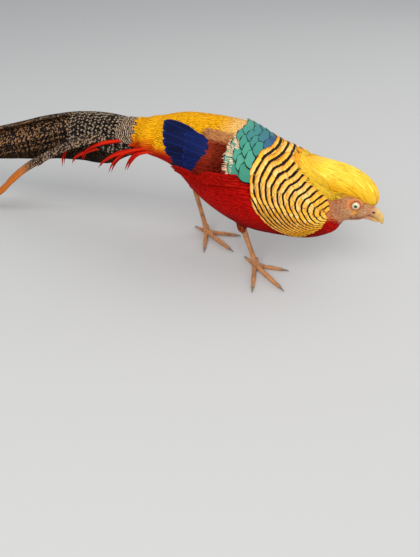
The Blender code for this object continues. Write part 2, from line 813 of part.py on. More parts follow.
def wing_plate(name, side, search):
    """The folded wing's base, a thin plate that lies along the body."""
    count, columns = 9, 7
    outer, inner = [], []
    for i in range(count):
        share = i / (count - 1)
        x = WING_FRONT + (WING_BACK - WING_FRONT) * share
        high, low = (front + (back - front) * share for front, back in (WING_TOP, WING_BOTTOM))
        outer.append([])
        inner.append([])
        for k in range(columns):
            place, normal = on_side(search, x, high + (low - high) * k / (columns - 1), side)
            across = math.sin(math.pi * (k + 0.6) / (columns + 0.2))
            along = math.sin(math.pi * (i + 0.6) / (count + 0.2))
            outer[-1].append(place + normal * (1.9 + 1.8 * across * along) * MM)
            inner[-1].append(place + normal * 0.75 * MM)
    return plate("wing_" + name, outer, inner, BLUE)


def build_wing(name, side, guide):
    """A folded wing: scapulars over tertials, and a dark flight feather below them."""
    search = surface_of(guide)
    wing = wing_plate(name, side, search)
    vanes = []
    for group, tip, rise in ((SCAPULARS, 3.6, 0), (TERTIALS, 4.4, TERTIAL_RISE), (PRIMARIES, 2.6, PRIMARY_RISE)):
        for x, turn, length, width in group:
            root = on_side(search, x, turn, side)[0] / MM
            heights = (1.4, 2.0 + 0.2 * tip, 0.9 * tip, tip, 0.95 * tip)
            stations = follow(search, root, Vector((-1, 0, rise)), length, (0, 0.35, 0.7, 0.92, 1), heights)
            widths = (width * 0.3, width * 0.48, width * 0.46, width * 0.26)
            vanes.append(vane(stations, widths, 1.3, BLUE))
    combine(wing, vanes, "UNION")
    return wing


def centre_on_origin():
    """Moves every solid alike, so that the origin is the middle of the box's underside."""
    solids = [obj for obj in bpy.context.scene.objects if obj.type == "MESH"]
    points = [v.co for obj in solids for v in obj.data.vertices]
    shift = Vector(
        (
            -(min(p.x for p in points) + max(p.x for p in points)) / 2,
            -(min(p.y for p in points) + max(p.y for p in points)) / 2,
            -min(p.z for p in points),
        )
    )
    for obj in solids:
        obj.data.transform(Matrix.Translation(shift))


def build():
    clear_scene()
    body = whole_body()
    guide = whole_body(fine=2)
    grown = whole_body(grow=GAP + 0.1)
    build_torso(body, guide)
    crest = build_crest(grown)
    build_neck(body, guide, grown, crest)
    build_head(body)
    build_bill()
    for name, side in SIDES:
        build_leg(name, side, grown)
        build_wing(name, side, guide)
    build_tail()
    for spare in (body, guide, grown):
        bpy.data.objects.remove(spare)
    centre_on_origin()


build()
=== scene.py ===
"""A golden pheasant cock foraging with its head held low, dressed in its feathers.

Measures of the bird are in millimetres in the bird's own frame, where it faces +X, its right side
is at -Y and the floor is z = 0. They become metres in the row's frame when a mesh is made.
"""

import logging
import math
from dataclasses import dataclass, field
from enum import Enum
from typing import Callable, Optional, Sequence, Union

import bpy
import numpy as np
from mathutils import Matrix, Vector
from mathutils.bvhtree import BVHTree


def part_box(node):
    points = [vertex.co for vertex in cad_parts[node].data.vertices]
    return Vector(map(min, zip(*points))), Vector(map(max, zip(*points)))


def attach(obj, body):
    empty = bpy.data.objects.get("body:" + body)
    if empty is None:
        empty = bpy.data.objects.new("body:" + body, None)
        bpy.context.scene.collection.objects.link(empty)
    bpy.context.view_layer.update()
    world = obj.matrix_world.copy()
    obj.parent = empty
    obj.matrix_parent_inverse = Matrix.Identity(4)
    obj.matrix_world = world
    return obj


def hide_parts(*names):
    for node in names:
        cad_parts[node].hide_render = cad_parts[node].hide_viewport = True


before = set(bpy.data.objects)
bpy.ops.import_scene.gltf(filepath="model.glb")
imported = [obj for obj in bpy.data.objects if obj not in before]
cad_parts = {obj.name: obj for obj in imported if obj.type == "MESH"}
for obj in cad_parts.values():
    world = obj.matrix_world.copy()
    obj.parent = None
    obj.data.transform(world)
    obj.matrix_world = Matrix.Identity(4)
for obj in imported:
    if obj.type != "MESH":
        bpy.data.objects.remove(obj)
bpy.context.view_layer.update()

LOG = logging.getLogger("pheasant")
MM = 0.001
MOST = 190000  # triangles in a piece
SIDES = (("right", -1), ("left", 1))
SPAN = 100.0  # mm to one unit of a feather's Span map
Colour = tuple[float, float, float]
Row = tuple[float, ...]
Array = np.ndarray
Piece = bpy.types.Object
Pieces = list[Piece]
# Points and the faces that join them.
Solid = tuple[Array, list[tuple[int, ...]]]
# A feather's shaft: places, normals and directions.
Laid = tuple[Array, Array, Array]

# Stations of the flesh: x, z, half width, half height, along a spine in y = 0.
TORSO: tuple[Row, ...] = (
    (-136, 140, 12, 9), (-118, 137.5, 22, 15), (-95, 138.5, 34, 22), (-62, 136.5, 41, 32.5),
    (-22, 120.5, 51.5, 49.5), (18, 101.5, 52, 53.5), (52, 92.5, 47, 50), (82, 84, 40, 39),
    (104, 82, 28, 28), (114, 83, 16, 17), (118, 84, 5, 6),
)
NECK: tuple[Row, ...] = (
    (22, 117, 44, 35), (46, 110, 46, 36), (68, 99, 43, 34.5), (86, 95, 37, 32), (100, 94, 29, 26),
    (111, 95, 19, 19),
)
HEAD: tuple[Row, ...] = (
    (94, 100.5, 12, 13), (104, 100, 15.5, 19), (115, 98.5, 17, 22), (125, 96, 16, 21.5), (133, 93, 13, 16),
    (140, 91, 9, 10.5), (143.5, 90, 4, 5),
)
CREST: tuple[Row, ...] = (
    (144, 99, 7, 6), (139, 107, 12, 10), (129, 114.5, 16, 13), (114, 120, 18, 15), (98, 123.5, 20, 14.5),
    (80, 128, 20, 10.5), (64, 132.5, 16, 6), (56, 136.5, 7, 2.5),
)
TAIL_BASE: tuple[Row, ...] = (
    (-114, 138, 22, 16), (-134, 132.5, 22, 21), (-156, 127, 19, 22), (-172, 124, 13, 14), (-184, 121, 5, 5),
)
UPPER_BILL: tuple[Row, ...] = (
    (137.5, 94.2, 7.0, 5.6), (141, 93, 6.4, 5.4), (147, 91, 5.2, 5), (153, 87, 3.6, 4), (157, 82, 1.9, 2.6),
    (158.6, 78.4, 0.6, 0.9),
)
LOWER_BILL: tuple[Row, ...] = (
    (136, 84.8, 6.2, 2.9), (144, 84, 4.6, 2.6), (150, 82, 3, 2.2), (154, 79.8, 1.2, 1),
)
# The left eyeball's middle, a point of the yellow wattle as x and z, and the gape from end to end.
EYE = (127, 14.4, 104.1)
WATTLE = (128.5, 95)
GAPE = ((128, 86.5), (139, 87.5))
# Edges between plumages, as x and z: under the crest, under the gold of the back, over the red throat.
CREST_EDGE = (
    (54, 144), (61, 140), (77, 129.5), (84, 122), (94, 113.5), (103, 108.5), (115, 109.5), (129, 112), (141, 102.5),
)
RUMP_EDGE = ((-140, 143), (-104, 143), (-85, 143), (-76, 139), (-50, 141), (60, 143))
THROAT_EDGE = ((80.7, 66.5), (101.0, 82.2))
# The ruff fans out from a point on the cheek. Its reach in mm at angles round it in degrees, 0 to the
# rear and 90 up, and its bars with the place and distance of each as shares of the reach.
RUFF_CENTRE = (105, 92)
RUFF_BARS = 12
RUFF_FIRST = 0.13
RUFF_STEP = 0.0765
RUFF_REACH = (
    (-95, 30), (-75, 31), (-60, 32.5), (-46, 36), (-26, 47), (-3, 62), (9, 72.5), (17, 83), (27, 93),
    (36, 95), (42, 90), (95, 88),
)
# The tail's ridge, as x and z.
TAIL_RIDGE = (
    (-104, 146), (-150, 151.5), (-190, 150.5), (-230, 142), (-270, 130), (-336, 110), (-420, 86),
    (-520, 61), (-620, 41), (-720, 27), (-828, 17),
)
# The legs: where each foot and hock stands, where the foot points in degrees, how high the shank meets
# the foot, and how high the thigh's feathers end.
ANKLE = 8.0
FEET = {"right": (30, -25), "left": (-50, 20)}
HOCKS = {"right": (4, -25, 76), "left": (-69, 22, 76)}
FOOT_HEADING = {"right": -36, "left": -30}
THIGH_END = {"right": 50, "left": 66}

# Colours of the plumage, linear.
YELLOW = (1.0, 0.57, 0.01)
LEMON = (1.0, 0.82, 0.1)
ORANGE = (0.78, 0.1, 0.003)
GOLD = (1.0, 0.45, 0.004)
SCARLET = (0.5, 0.0035, 0.0015)
# Painted shade: the darker red of the underside, under the belly and at the top of the thighs
SHADED_UNDERSIDE_RED = (0.22, 0.002, 0.001)
RUST = (0.8, 0.37, 0.15)
RUFF_GOLD = (1.0, 0.46, 0.012)
TEAL = (0.05, 0.3, 0.19)
MAROON = (0.27, 0.024, 0.008)
NAVY = (0.0012, 0.0025, 0.02)
INK = (0.004, 0.005, 0.011)
BUFF = (0.29, 0.19, 0.1)
CINNAMON = (0.3, 0.14, 0.055)
ROYAL = (0.002, 0.009, 0.085)
BLUE_BLACK = (0.003, 0.005, 0.03)
SOOT = (0.01, 0.012, 0.016)
RUFF_LIGHT = (1.0, 0.54, 0.03)
# Painted highlight: the pale colour of streaks painted across the ruff's middle
RUFF_PAINTED_HIGHLIGHT = (1.0, 0.76, 0.3)
RUFF_TIP = (0.85, 0.27, 0.01)
MANTLE_BLUE = (0.012, 0.07, 0.19)
MANTLE_LIGHT = (0.13, 0.42, 0.3)
DOWN = (1.0, 0.8, 0.55)
DOWN_TAN = (0.8, 0.42, 0.18)
DOWN_GOLD = (1.0, 0.6, 0.16)
BACK_PALE = (1.0, 0.66, 0.3)
FLANK_RED = (0.66, 0.012, 0.003)
RUMP_RED = (0.7, 0.03, 0.003)
SHANK_BROWN = (0.3, 0.05, 0.015)
CREST_ROOT = (0.95, 0.42, 0.01)
CREST_ORANGE = (0.96, 0.42, 0.008)
CREST_TAIL = (1.0, 0.36, 0.008)
CHEEK_BROWN = (0.66, 0.2, 0.07)
FACE_FLECK = (0.95, 0.66, 0.42)
GAPE_RED = (0.34, 0.045, 0.02)
WATTLE_YELLOW = (0.95, 0.46, 0.03)
ORBIT_ORANGE = (0.8, 0.24, 0.05)
DARK_RED = (0.17, 0.005, 0.002)
SHOULDER_RED = (0.4, 0.05, 0.016)
TUFT = (0.72, 0.33, 0.11)
TUFT_DARK = (0.42, 0.14, 0.05)
MOTTLED = (0.34, 0.22, 0.13)
FLAME_ORANGE = (0.5, 0.13, 0.01)
SPEAR_RED = (0.68, 0.03, 0.004)
SPEAR_TIP = (0.24, 0.002, 0.006)
COVERT_PALE = (0.5, 0.38, 0.26)
COVERT_BROWN = (0.4, 0.2, 0.09)
SPOT_PALE = (0.42, 0.32, 0.22)
SPOT_BROWN = (0.34, 0.18, 0.08)


def find_shift() -> Vector:
    """How far the row's frame lies from the bird's own, read from where the right eye is.

    Returns:
        The shift in metres.
    """
    low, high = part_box("eye_right")
    return (low + high) / 2 - Vector((EYE[0], -EYE[1], EYE[2])) * MM


SHIFT = np.array(find_shift())


def ramp(low: float, high: float, value: Array) -> Array:
    """A smooth step from 0 at low to 1 at high."""
    share = np.clip((np.asarray(value, float) - low) / (high - low), 0, 1)
    return share * share * (3 - 2 * share)


def mix(share: Array, first: Sequence[float], second: Sequence[float]) -> Array:
    """Colours between two, by a share for each row."""
    share = np.asarray(share, float)[..., None]
    return np.asarray(first, float) * (1 - share) + np.asarray(second, float) * share


def unit(vectors: Array) -> Array:
    """Vectors of length one, the same way round."""
    return vectors / np.maximum(np.linalg.norm(vectors, axis=-1, keepdims=True), 1e-9)


def spline(rows: Union[Sequence[Row], Array], places: Array) -> Array:
    """Reads a Catmull-Rom curve through the rows.

    Args:
        rows: The rows that it passes through.
        places: Where to read it, from 0 at the first row to 1 at the last.

    Returns:
        One row for each place.
    """
    table = np.array(rows, float)
    last = len(table) - 1
    place = np.clip(np.asarray(places, float), 0, 1) * last
    k = np.minimum(place.astype(int), last - 1)
    u = (place - k)[..., None]
    a, b = table[np.maximum(k - 1, 0)], table[k]
    c, d = table[k + 1], table[np.minimum(k + 2, last)]
    return 0.5 * (2 * b + (c - a) * u + (2 * a - 5 * b + 4 * c - d) * u**2 + (3 * b - a - 3 * c + d) * u**3)


def ridge_height(x: Array) -> Array:
    """Height of the tail's ridge at each x."""
    rows = spline(TAIL_RIDGE, np.linspace(0, 1, 120))[::-1]
    return np.interp(x, rows[:, 0], rows[:, 1])


def circle(count: int) -> Array:
    """Even turns all the way round, in radians."""
    return np.linspace(0, 2 * math.pi, count, endpoint=False)


def height_at(edge: Sequence[Row], x: Array) -> Array:
    """Height of an edge at each x."""
    table = np.array(edge, float)
    return np.interp(x, table[:, 0], table[:, 1])


def reach_of(turn: Array) -> Array:
    """The ruff's reach at each angle in degrees round the cheek."""
    return height_at(RUFF_REACH, turn)


def shank_at(name: str, height: float) -> Array:
    """The place on a leg's shank at a height."""
    foot, hock = np.array([*FEET[name], ANKLE]), np.array(HOCKS[name], float)
    return hock + (foot - hock) * (hock[2] - height) / (hock[2] - ANKLE)


@dataclass(frozen=True)
class Form:
    """A loft through stations, read anywhere by its length and its angle from the top."""

    rows: tuple[Row, ...]  # Stations of x, z, half width and half height
    grow: float = 0.0  # What is added to both half sizes
    belly: float = 0.0  # How much the underside is flattened

    def spine(self, place: Array) -> tuple[Array, Array, Array]:
        """Reads the stations.

        Args:
            place: Shares of the length.

        Returns:
            The stations there, and the directions along and up.
        """
        here = spline(self.rows, place)
        ahead = spline(self.rows, np.asarray(place) + 0.01)
        behind = spline(self.rows, np.asarray(place) - 0.01)
        step = ahead - behind
        along = unit(np.stack([step[..., 0], 0 * step[..., 0], step[..., 1]], -1))
        up = np.cross(along, np.array([0.0, 1.0, 0.0]))
        flip = np.sign(up[..., 2:3] + 1e-9)
        return here, along, up * flip

    def at(self, place: Array, turn: Array) -> Array:
        """Points on the form.

        Args:
            place: Shares of the length.
            turn: Angles from the top, in radians, towards +Y.

        Returns:
            The points in mm.
        """
        here, _, up = self.spine(place)
        rise = np.cos(turn)
        rise = np.where(rise < 0, rise * (1 - self.belly * rise**4), rise)
        out = up * (rise * (here[..., 3] + self.grow))[..., None]
        out[..., 1] += np.sin(turn) * (here[..., 2] + self.grow)
        out[..., 0] += here[..., 0]
        out[..., 2] += here[..., 1]
        return out

    def mesh(self, count: int, segments: int) -> Solid:
        """A closed mesh of the form.

        Args:
            count: Rings along it.
            segments: Points in a ring.

        Returns:
            Its points and faces.
        """
        return close_rings(self.at(*np.meshgrid(np.linspace(0, 1, count), circle(segments), indexing="ij")))


def close_rings(rings: Array) -> Solid:
    """Joins rings of points into a closed tube.

    Args:
        rings: An array of rings, by points, by 3.

    Returns:
        The points, and the faces that join them.
    """
    count, segments = rings.shape[:2]
    points = np.concatenate([rings.reshape(-1, 3), rings[0].mean(0)[None], rings[-1].mean(0)[None]])
    faces: list[tuple[int, ...]] = []
    for i in range(count - 1):
        for k in range(segments):
            a, b = i * segments + k, i * segments + (k + 1) % segments
            faces.append((a, b, b + segments, a + segments))
    first, last = count * segments, count * segments + 1
    end = (count - 1) * segments
    for k in range(segments):
        faces.append((first, (k + 1) % segments, k))
        faces.append((last, end + k, end + (k + 1) % segments))
    volume = sum(float(np.dot(points[f[0]], np.cross(points[f[1]], points[f[2]]))) for f in faces)
    volume += sum(float(np.dot(points[f[0]], np.cross(points[f[2]], points[f[3]]))) for f in faces if len(f) == 4)
    return points, [f[::-1] for f in faces] if volume < 0 else faces


def link_mesh(name: str, mesh: bpy.types.Mesh) -> Piece:
    """An object that shows a mesh, linked to the scene."""
    made = bpy.data.objects.new(name, mesh)
    bpy.context.scene.collection.objects.link(made)
    return made


def make_object(name: str, points: Array, faces: Sequence[tuple[int, ...]]) -> Piece:
    """An object from points in mm in the bird's frame.

    Args:
        name: The piece's name.
        points: The points.
        faces: The faces, anticlockwise seen from outside.

    Returns:
        The object, linked to the scene.
    """
    mesh = bpy.data.meshes.new(name)
    mesh.from_pydata((np.asarray(points) * MM + SHIFT).tolist(), [], [tuple(f) for f in faces])
    mesh.polygons.foreach_set("use_smooth", [True] * len(mesh.polygons))
    mesh.update()
    return link_mesh(name, mesh)


def bake_modifiers(piece: Piece) -> Piece:
    """Turns what an object's modifiers make of it into its plain mesh."""
    graph = bpy.context.evaluated_depsgraph_get()
    mesh = bpy.data.meshes.new_from_object(piece.evaluated_get(graph))
    piece.modifiers.clear()
    piece.data = mesh
    return piece


Value = Union["Wire", float]


class Wire:
    """A number socket of a shader tree, on which Python's operators add Math nodes."""

    def __init__(self, shader: "Shader", socket: bpy.types.NodeSocket) -> None:
        """Keeps the shader and the socket."""
        self.shader = shader
        self.socket = socket

    def _math(self, operation: str, first: Value, second: Value = 0.0) -> "Wire":
        """Adds one Math node.

        Args:
            operation: The operation's name.
            first: Its first value.
            second: Its second value.

        Returns:
            The node's result.
        """
        node = self.shader.node("ShaderNodeMath", {"operation": operation}, {0: first, 1: second})
        return Wire(self.shader, node.outputs[0])

    def __add__(self, other: Value) -> "Wire":
        """The sum."""
        return self._math("ADD", self, other)

    __radd__ = __add__

    def __sub__(self, other: Value) -> "Wire":
        """The difference."""
        return self._math("SUBTRACT", self, other)

    def __rsub__(self, other: Value) -> "Wire":
        """The difference, the other way round."""
        return self._math("SUBTRACT", other, self)

    def __mul__(self, other: Value) -> "Wire":
        """The product."""
        return self._math("MULTIPLY", self, other)

    __rmul__ = __mul__

    def __truediv__(self, other: Value) -> "Wire":
        """The quotient."""
        return self._math("DIVIDE", self, other)

    def __pow__(self, other: Value) -> "Wire":
        """The power."""
        return self._math("POWER", self, other)

    def __abs__(self) -> "Wire":
        """The size without its sign."""
        return self._math("ABSOLUTE", self)

    def most(self, other: Value) -> "Wire":
        """The larger of the two."""
        return self._math("MAXIMUM", self, other)

    def wave(self) -> "Wire":
        """The sine."""
        return self._math("SINE", self)

    def step(self, low: float, high: float) -> "Wire":
        """A smooth step from 0 at low to 1 at high."""
        inputs = {"Value": self, "From Min": low, "From Max": high}
        return self.shader.number(self.shader.node("ShaderNodeMapRange", {"interpolation_type": "SMOOTHSTEP"}, inputs))

    def cycle(self) -> "Wire":
        """The part after the decimal point."""
        return self._math("FRACT", self)


def add_node(
    tree: bpy.types.NodeTree,
    kind: str,
    settings: Optional[dict[str, object]] = None,
    inputs: Optional[dict[Union[str, int], object]] = None,
) -> bpy.types.Node:
    """Adds a node to a tree.

    Args:
        tree: The tree.
        kind: The node's type name.
        settings: Properties, set first.
        inputs: Values or links, by socket name or number.

    Returns:
        The node.
    """
    made = tree.nodes.new(kind)
    for key, value in (settings or {}).items():
        setattr(made, key, value)
    for key, value in (inputs or {}).items():
        source = value.socket if isinstance(value, Wire) else value
        if isinstance(source, bpy.types.NodeSocket):
            tree.links.new(source, made.inputs[key])
        else:
            made.inputs[key].default_value = source
    return made


class Shader:
    """A material under construction, with its Principled node."""

    def __init__(self, name: str, roughness: float = 0.5, specular: float = 0.5) -> None:
        """Starts the material.

        Args:
            name: Its name.
            roughness: The roughness all over.
            specular: The level of the gloss.
        """
        self.material = bpy.data.materials.new(name)
        self.material.use_nodes = True
        self.tree = self.material.node_tree
        self.surface = self.tree.nodes["Principled BSDF"]
        self.surface.inputs["Roughness"].default_value = roughness
        self.surface.inputs["Specular IOR Level"].default_value = specular

    def node(
        self,
        kind: str,
        settings: Optional[dict[str, object]] = None,
        inputs: Optional[dict[Union[str, int], object]] = None,
    ) -> bpy.types.Node:
        """Adds a node to the material, as add_node does."""
        return add_node(self.tree, kind, settings, inputs)

    def number(self, node: bpy.types.Node, output: Union[str, int] = 0) -> Wire:
        """One of a node's outputs as a number."""
        return Wire(self, node.outputs[output])

    def blend(self, share: Value, first: object, second: object, how: str = "MIX") -> bpy.types.NodeSocket:
        """A colour between two.

        Args:
            share: How much of the second.
            first: A colour socket or a colour.
            second: A colour socket or a colour.
            how: The blend type.

        Returns:
            The colour's socket.
        """
        pair = [(*c, 1.0) if isinstance(c, tuple) else c for c in (first, second)]
        node = self.node("ShaderNodeMix", {"data_type": "RGBA", "blend_type": how}, {0: share, 6: pair[0], 7: pair[1]})
        return node.outputs[2]

    def _map(self, name: str) -> tuple[Wire, Wire]:
        """Both coordinates of one of the mesh's maps."""
        flat = self.node("ShaderNodeUVMap", {"uv_map": name})
        parts = self.node("ShaderNodeSeparateXYZ", None, {0: flat.outputs[0]})
        return self.number(parts, 0), self.number(parts, 1)

    def vane(self) -> tuple[Wire, Wire]:
        """The coordinates across and along a feather: -1 to 1, and 0 to 1."""
        across, along = self._map("Vane")
        return across * 2 - 1, along

    def span(self) -> tuple[Wire, Wire]:
        """The distances from the shaft and from the root, in mm."""
        wide, far = self._map("Span")
        return wide * SPAN, far * SPAN

    def field(self) -> tuple[Wire, Wire]:
        """The share of the ruff's reach, and the turn round the cheek as a share of half a circle."""
        return self._map("Fan")

    def tint(self) -> bpy.types.NodeSocket:
        """The colour that each feather carries."""
        return self.node("ShaderNodeAttribute", {"attribute_name": "tint"}).outputs["Color"]

    def tone(self) -> Wire:
        """A number that differs from feather to feather."""
        return self.number(self.node("ShaderNodeAttribute", {"attribute_name": "tint"}), "Alpha")

    def noise(self, vector: object, scale: float, detail: float = 2.0, rough: float = 0.5) -> Wire:
        """A noise texture's value at a vector."""
        inputs = {"Vector": vector, "Scale": scale, "Detail": detail, "Roughness": rough}
        return self.number(self.node("ShaderNodeTexNoise", None, inputs))

    def join(self, x: Value, y: Value, z: Value = 0.0) -> bpy.types.NodeSocket:
        """A vector from three numbers."""
        return self.node("ShaderNodeCombineXYZ", None, {0: x, 1: y, 2: z}).outputs[0]

    def place(self) -> bpy.types.NodeSocket:
        """Object coordinates."""
        return self.node("ShaderNodeTexCoord").outputs["Object"]

    def colour(self, socket: object) -> "Shader":
        """Sets or links the base colour."""
        if isinstance(socket, tuple):
            self.surface.inputs["Base Color"].default_value = (*socket, 1.0)
        else:
            self.tree.links.new(socket, self.surface.inputs["Base Color"])
        return self

    def rough(self, value: Wire) -> "Shader":
        """Links the roughness."""
        self.tree.links.new(value.socket, self.surface.inputs["Roughness"])
        return self

    def bump(self, height: Wire, depth: float, strength: float = 1.0) -> "Shader":
        """Raises the surface by a height, depth metres at 1."""
        node = self.node("ShaderNodeBump", None, {"Height": height, "Distance": depth, "Strength": strength})
        self.tree.links.new(node.outputs[0], self.surface.inputs["Normal"])
        return self


class Pattern(Enum):
    """The marking that a feather wears."""

    PLAIN = "plain"
    BARRED = "barred"
    RIMMED = "rimmed"
    SPOTTED = "spotted"
    WAVED = "waved"


@dataclass(frozen=True)
class FeatherFinish:
    """How a kind of feather looks."""

    name: str  # The material's name
    pattern: Pattern = Pattern.PLAIN  # The marking
    mark: Colour = INK  # The marking's colour
    roughness: float = 0.6  # The vane's roughness
    gloss: float = 0.2  # The level of its gloss
    streak: float = 0.3  # How strongly the barbs show
    hairy: bool = False  # Whether the barbs run loose along the feather instead of slanting from its shaft
    grain: tuple[float, float] = (3.4, 3.4)  # The size of a spot or wave, across and along, in mm
    fade: float = 2.0  # Where along the feather the marking ends, or 2 if it goes on to the tip
    relief: float = 0.4  # How strongly the barbs stand out
    shaft: float = 0.0  # How strongly the shaft shows

    def dress(self) -> bpy.types.Material:
        """Builds the material."""
        s = Shader(self.name, self.roughness, self.gloss)
        wide, far = s.span()
        tone = s.tone()
        if self.hairy:
            light = s.noise(s.join(wide * 1.5 + tone * 60, far * 0.09, tone * 37), 1.0, 3.0, 0.6)
        else:
            slant = far + abs(wide) * 0.7
            comb = s.noise(s.join(slant * 1.6, wide * 0.12, tone * 37), 1.0, 2.0)
            light = comb * 0.7 + s.noise(s.join(wide * 0.4, far * 0.2, tone * 91), 1.0, 1.0) * 0.3
        shade = s.blend(self.streak, s.tint(), s.join(light, light, light), "OVERLAY")
        marks = self._mark(s, wide, far, light)
        if marks is not None:
            shade = s.blend(marks, shade, self.mark)
        if self.shaft:
            quill = 1 - abs(wide).step(0.25, 0.5)
            shade = s.blend(quill * self.shaft, shade, self.mark)
        s.colour(shade)
        s.bump(light, 0.0004, self.relief)
        return s.material

    def _mark(self, s: Shader, wide: Wire, far: Wire, comb: Wire) -> Optional[Wire]:
        """Where the marking lies.

        Args:
            s: The shader.
            wide: The distance from the shaft in mm.
            far: The distance from the root in mm.
            comb: The barbs' noise.

        Returns:
            A mask, or None for a plain feather.
        """
        if self.pattern is Pattern.BARRED:
            # Bars at even shares of the reach, broken where the loose barbs' noise is high.
            share, turn = s.field()
            loose = s.noise(s.join(turn * 30, share * 1.2, s.tone() * 9), 1.0, 2.0)
            shift = (loose - 0.5) * 0.26 + (s.tone() - 0.5) * 0.08 + 0.5
            away = abs(((share - RUFF_FIRST) * (1 / RUFF_STEP) + shift).cycle() - 0.5)
            broad = 0.1 + share * 0.06
            return (1 - (away - broad).step(0.0, 0.08)) * (1 - loose.step(0.6, 0.78) * 0.75)
        across, along = s.vane()
        if self.pattern is Pattern.RIMMED:
            # A rim along both edges and the tip.
            return abs(across).step(0.84, 0.92).most((along + (comb - 0.5) * 0.02).step(0.91, 0.945))
        grain_across, grain_along = self.grain
        fade = 1 - along.step(self.fade - 0.1, self.fade)
        if self.pattern is Pattern.WAVED:
            # Waves across the feather, bent by a noise that differs from feather to feather.
            warp = s.noise(s.join(wide * 0.28, far * 0.28, s.tone() * 20), 1.0, 2.0)
            wave = (far * (6.283 / grain_along) + warp * 13 + wide * 0.3).wave()
            return wave.step(-0.6, -0.15) * fade
        if self.pattern is Pattern.SPOTTED:
            # Pale cells between dark seams.
            bend = s.noise(s.join(wide * 0.12, far * 0.12, s.tone() * 20), 1.0, 1.0)
            place = s.join(wide / grain_across + bend * 1.2, far / grain_along + bend)
            inputs = {"Vector": place, "Scale": 1.0, "Randomness": 0.85}
            cells = s.node("ShaderNodeTexVoronoi", {"feature": "F1"}, inputs)
            return (s.number(cells, "Distance") + (comb - 0.5) * 0.16).step(0.36, 0.48) * fade
        return None


@dataclass
class VaneShape:
    """The outline and section of one kind of feather."""

    columns: int  # Points across, an odd number
    rows: int  # Points along
    outline: Callable[[Array], Array]  # Half width as a share of the whole, for shares along
    camber: float = 0.05  # How far the edges droop, as a share of the half width
    fray: float = 0.0  # How far the barbs part at the tip, as a share of the length
    thick: float = 0.35  # Thickness at the shaft, in mm
    bow: float = 0.0  # How far the tip's corners lie back, as a share of the half width


def tip(along: Array, start: float) -> Array:
    """Half widths that round off from a share of the length on."""
    return np.sqrt(np.clip(1 - np.clip((along - start) / (1 - start), 0, 1) ** 2, 0.0004, 1))


def rounded(along: Array) -> Array:
    """A broad vane with a round tip."""
    return tip(along, 0.55) * (0.5 + 0.5 * ramp(0, 0.35, along))


def blade(along: Array) -> Array:
    """A long vane that keeps its width and ends in a blunt point."""
    return (0.55 + 0.45 * ramp(0, 0.15, along)) * tip(along, 0.8)


def squared(along: Array) -> Array:
    """A vane that widens to a nearly straight end."""
    end = np.clip((along - 0.8) / 0.2, 0, 1)
    return (0.5 + 0.5 * ramp(0, 0.6, along)) * np.sqrt(np.clip(1 - end**2 * 0.9, 0, 1))


def pointed(along: Array) -> Array:
    """A vane that tapers to a point."""
    return np.clip(np.sin(math.pi * (0.16 + 0.84 * along)), 0.02, 1) ** 0.8


def lance(along: Array) -> Array:
    """A long vane, even for most of its length and drawn out to its tip."""
    return (0.5 + 0.5 * ramp(0, 0.2, along)) * (1 - ramp(0.35, 1.02, along) * 0.97)


def strand(along: Array) -> Array:
    """A slim lock of hair-like barbs."""
    return 0.6 + 0.4 * ramp(0, 0.2, along) - 0.93 * ramp(0.5, 1, along)


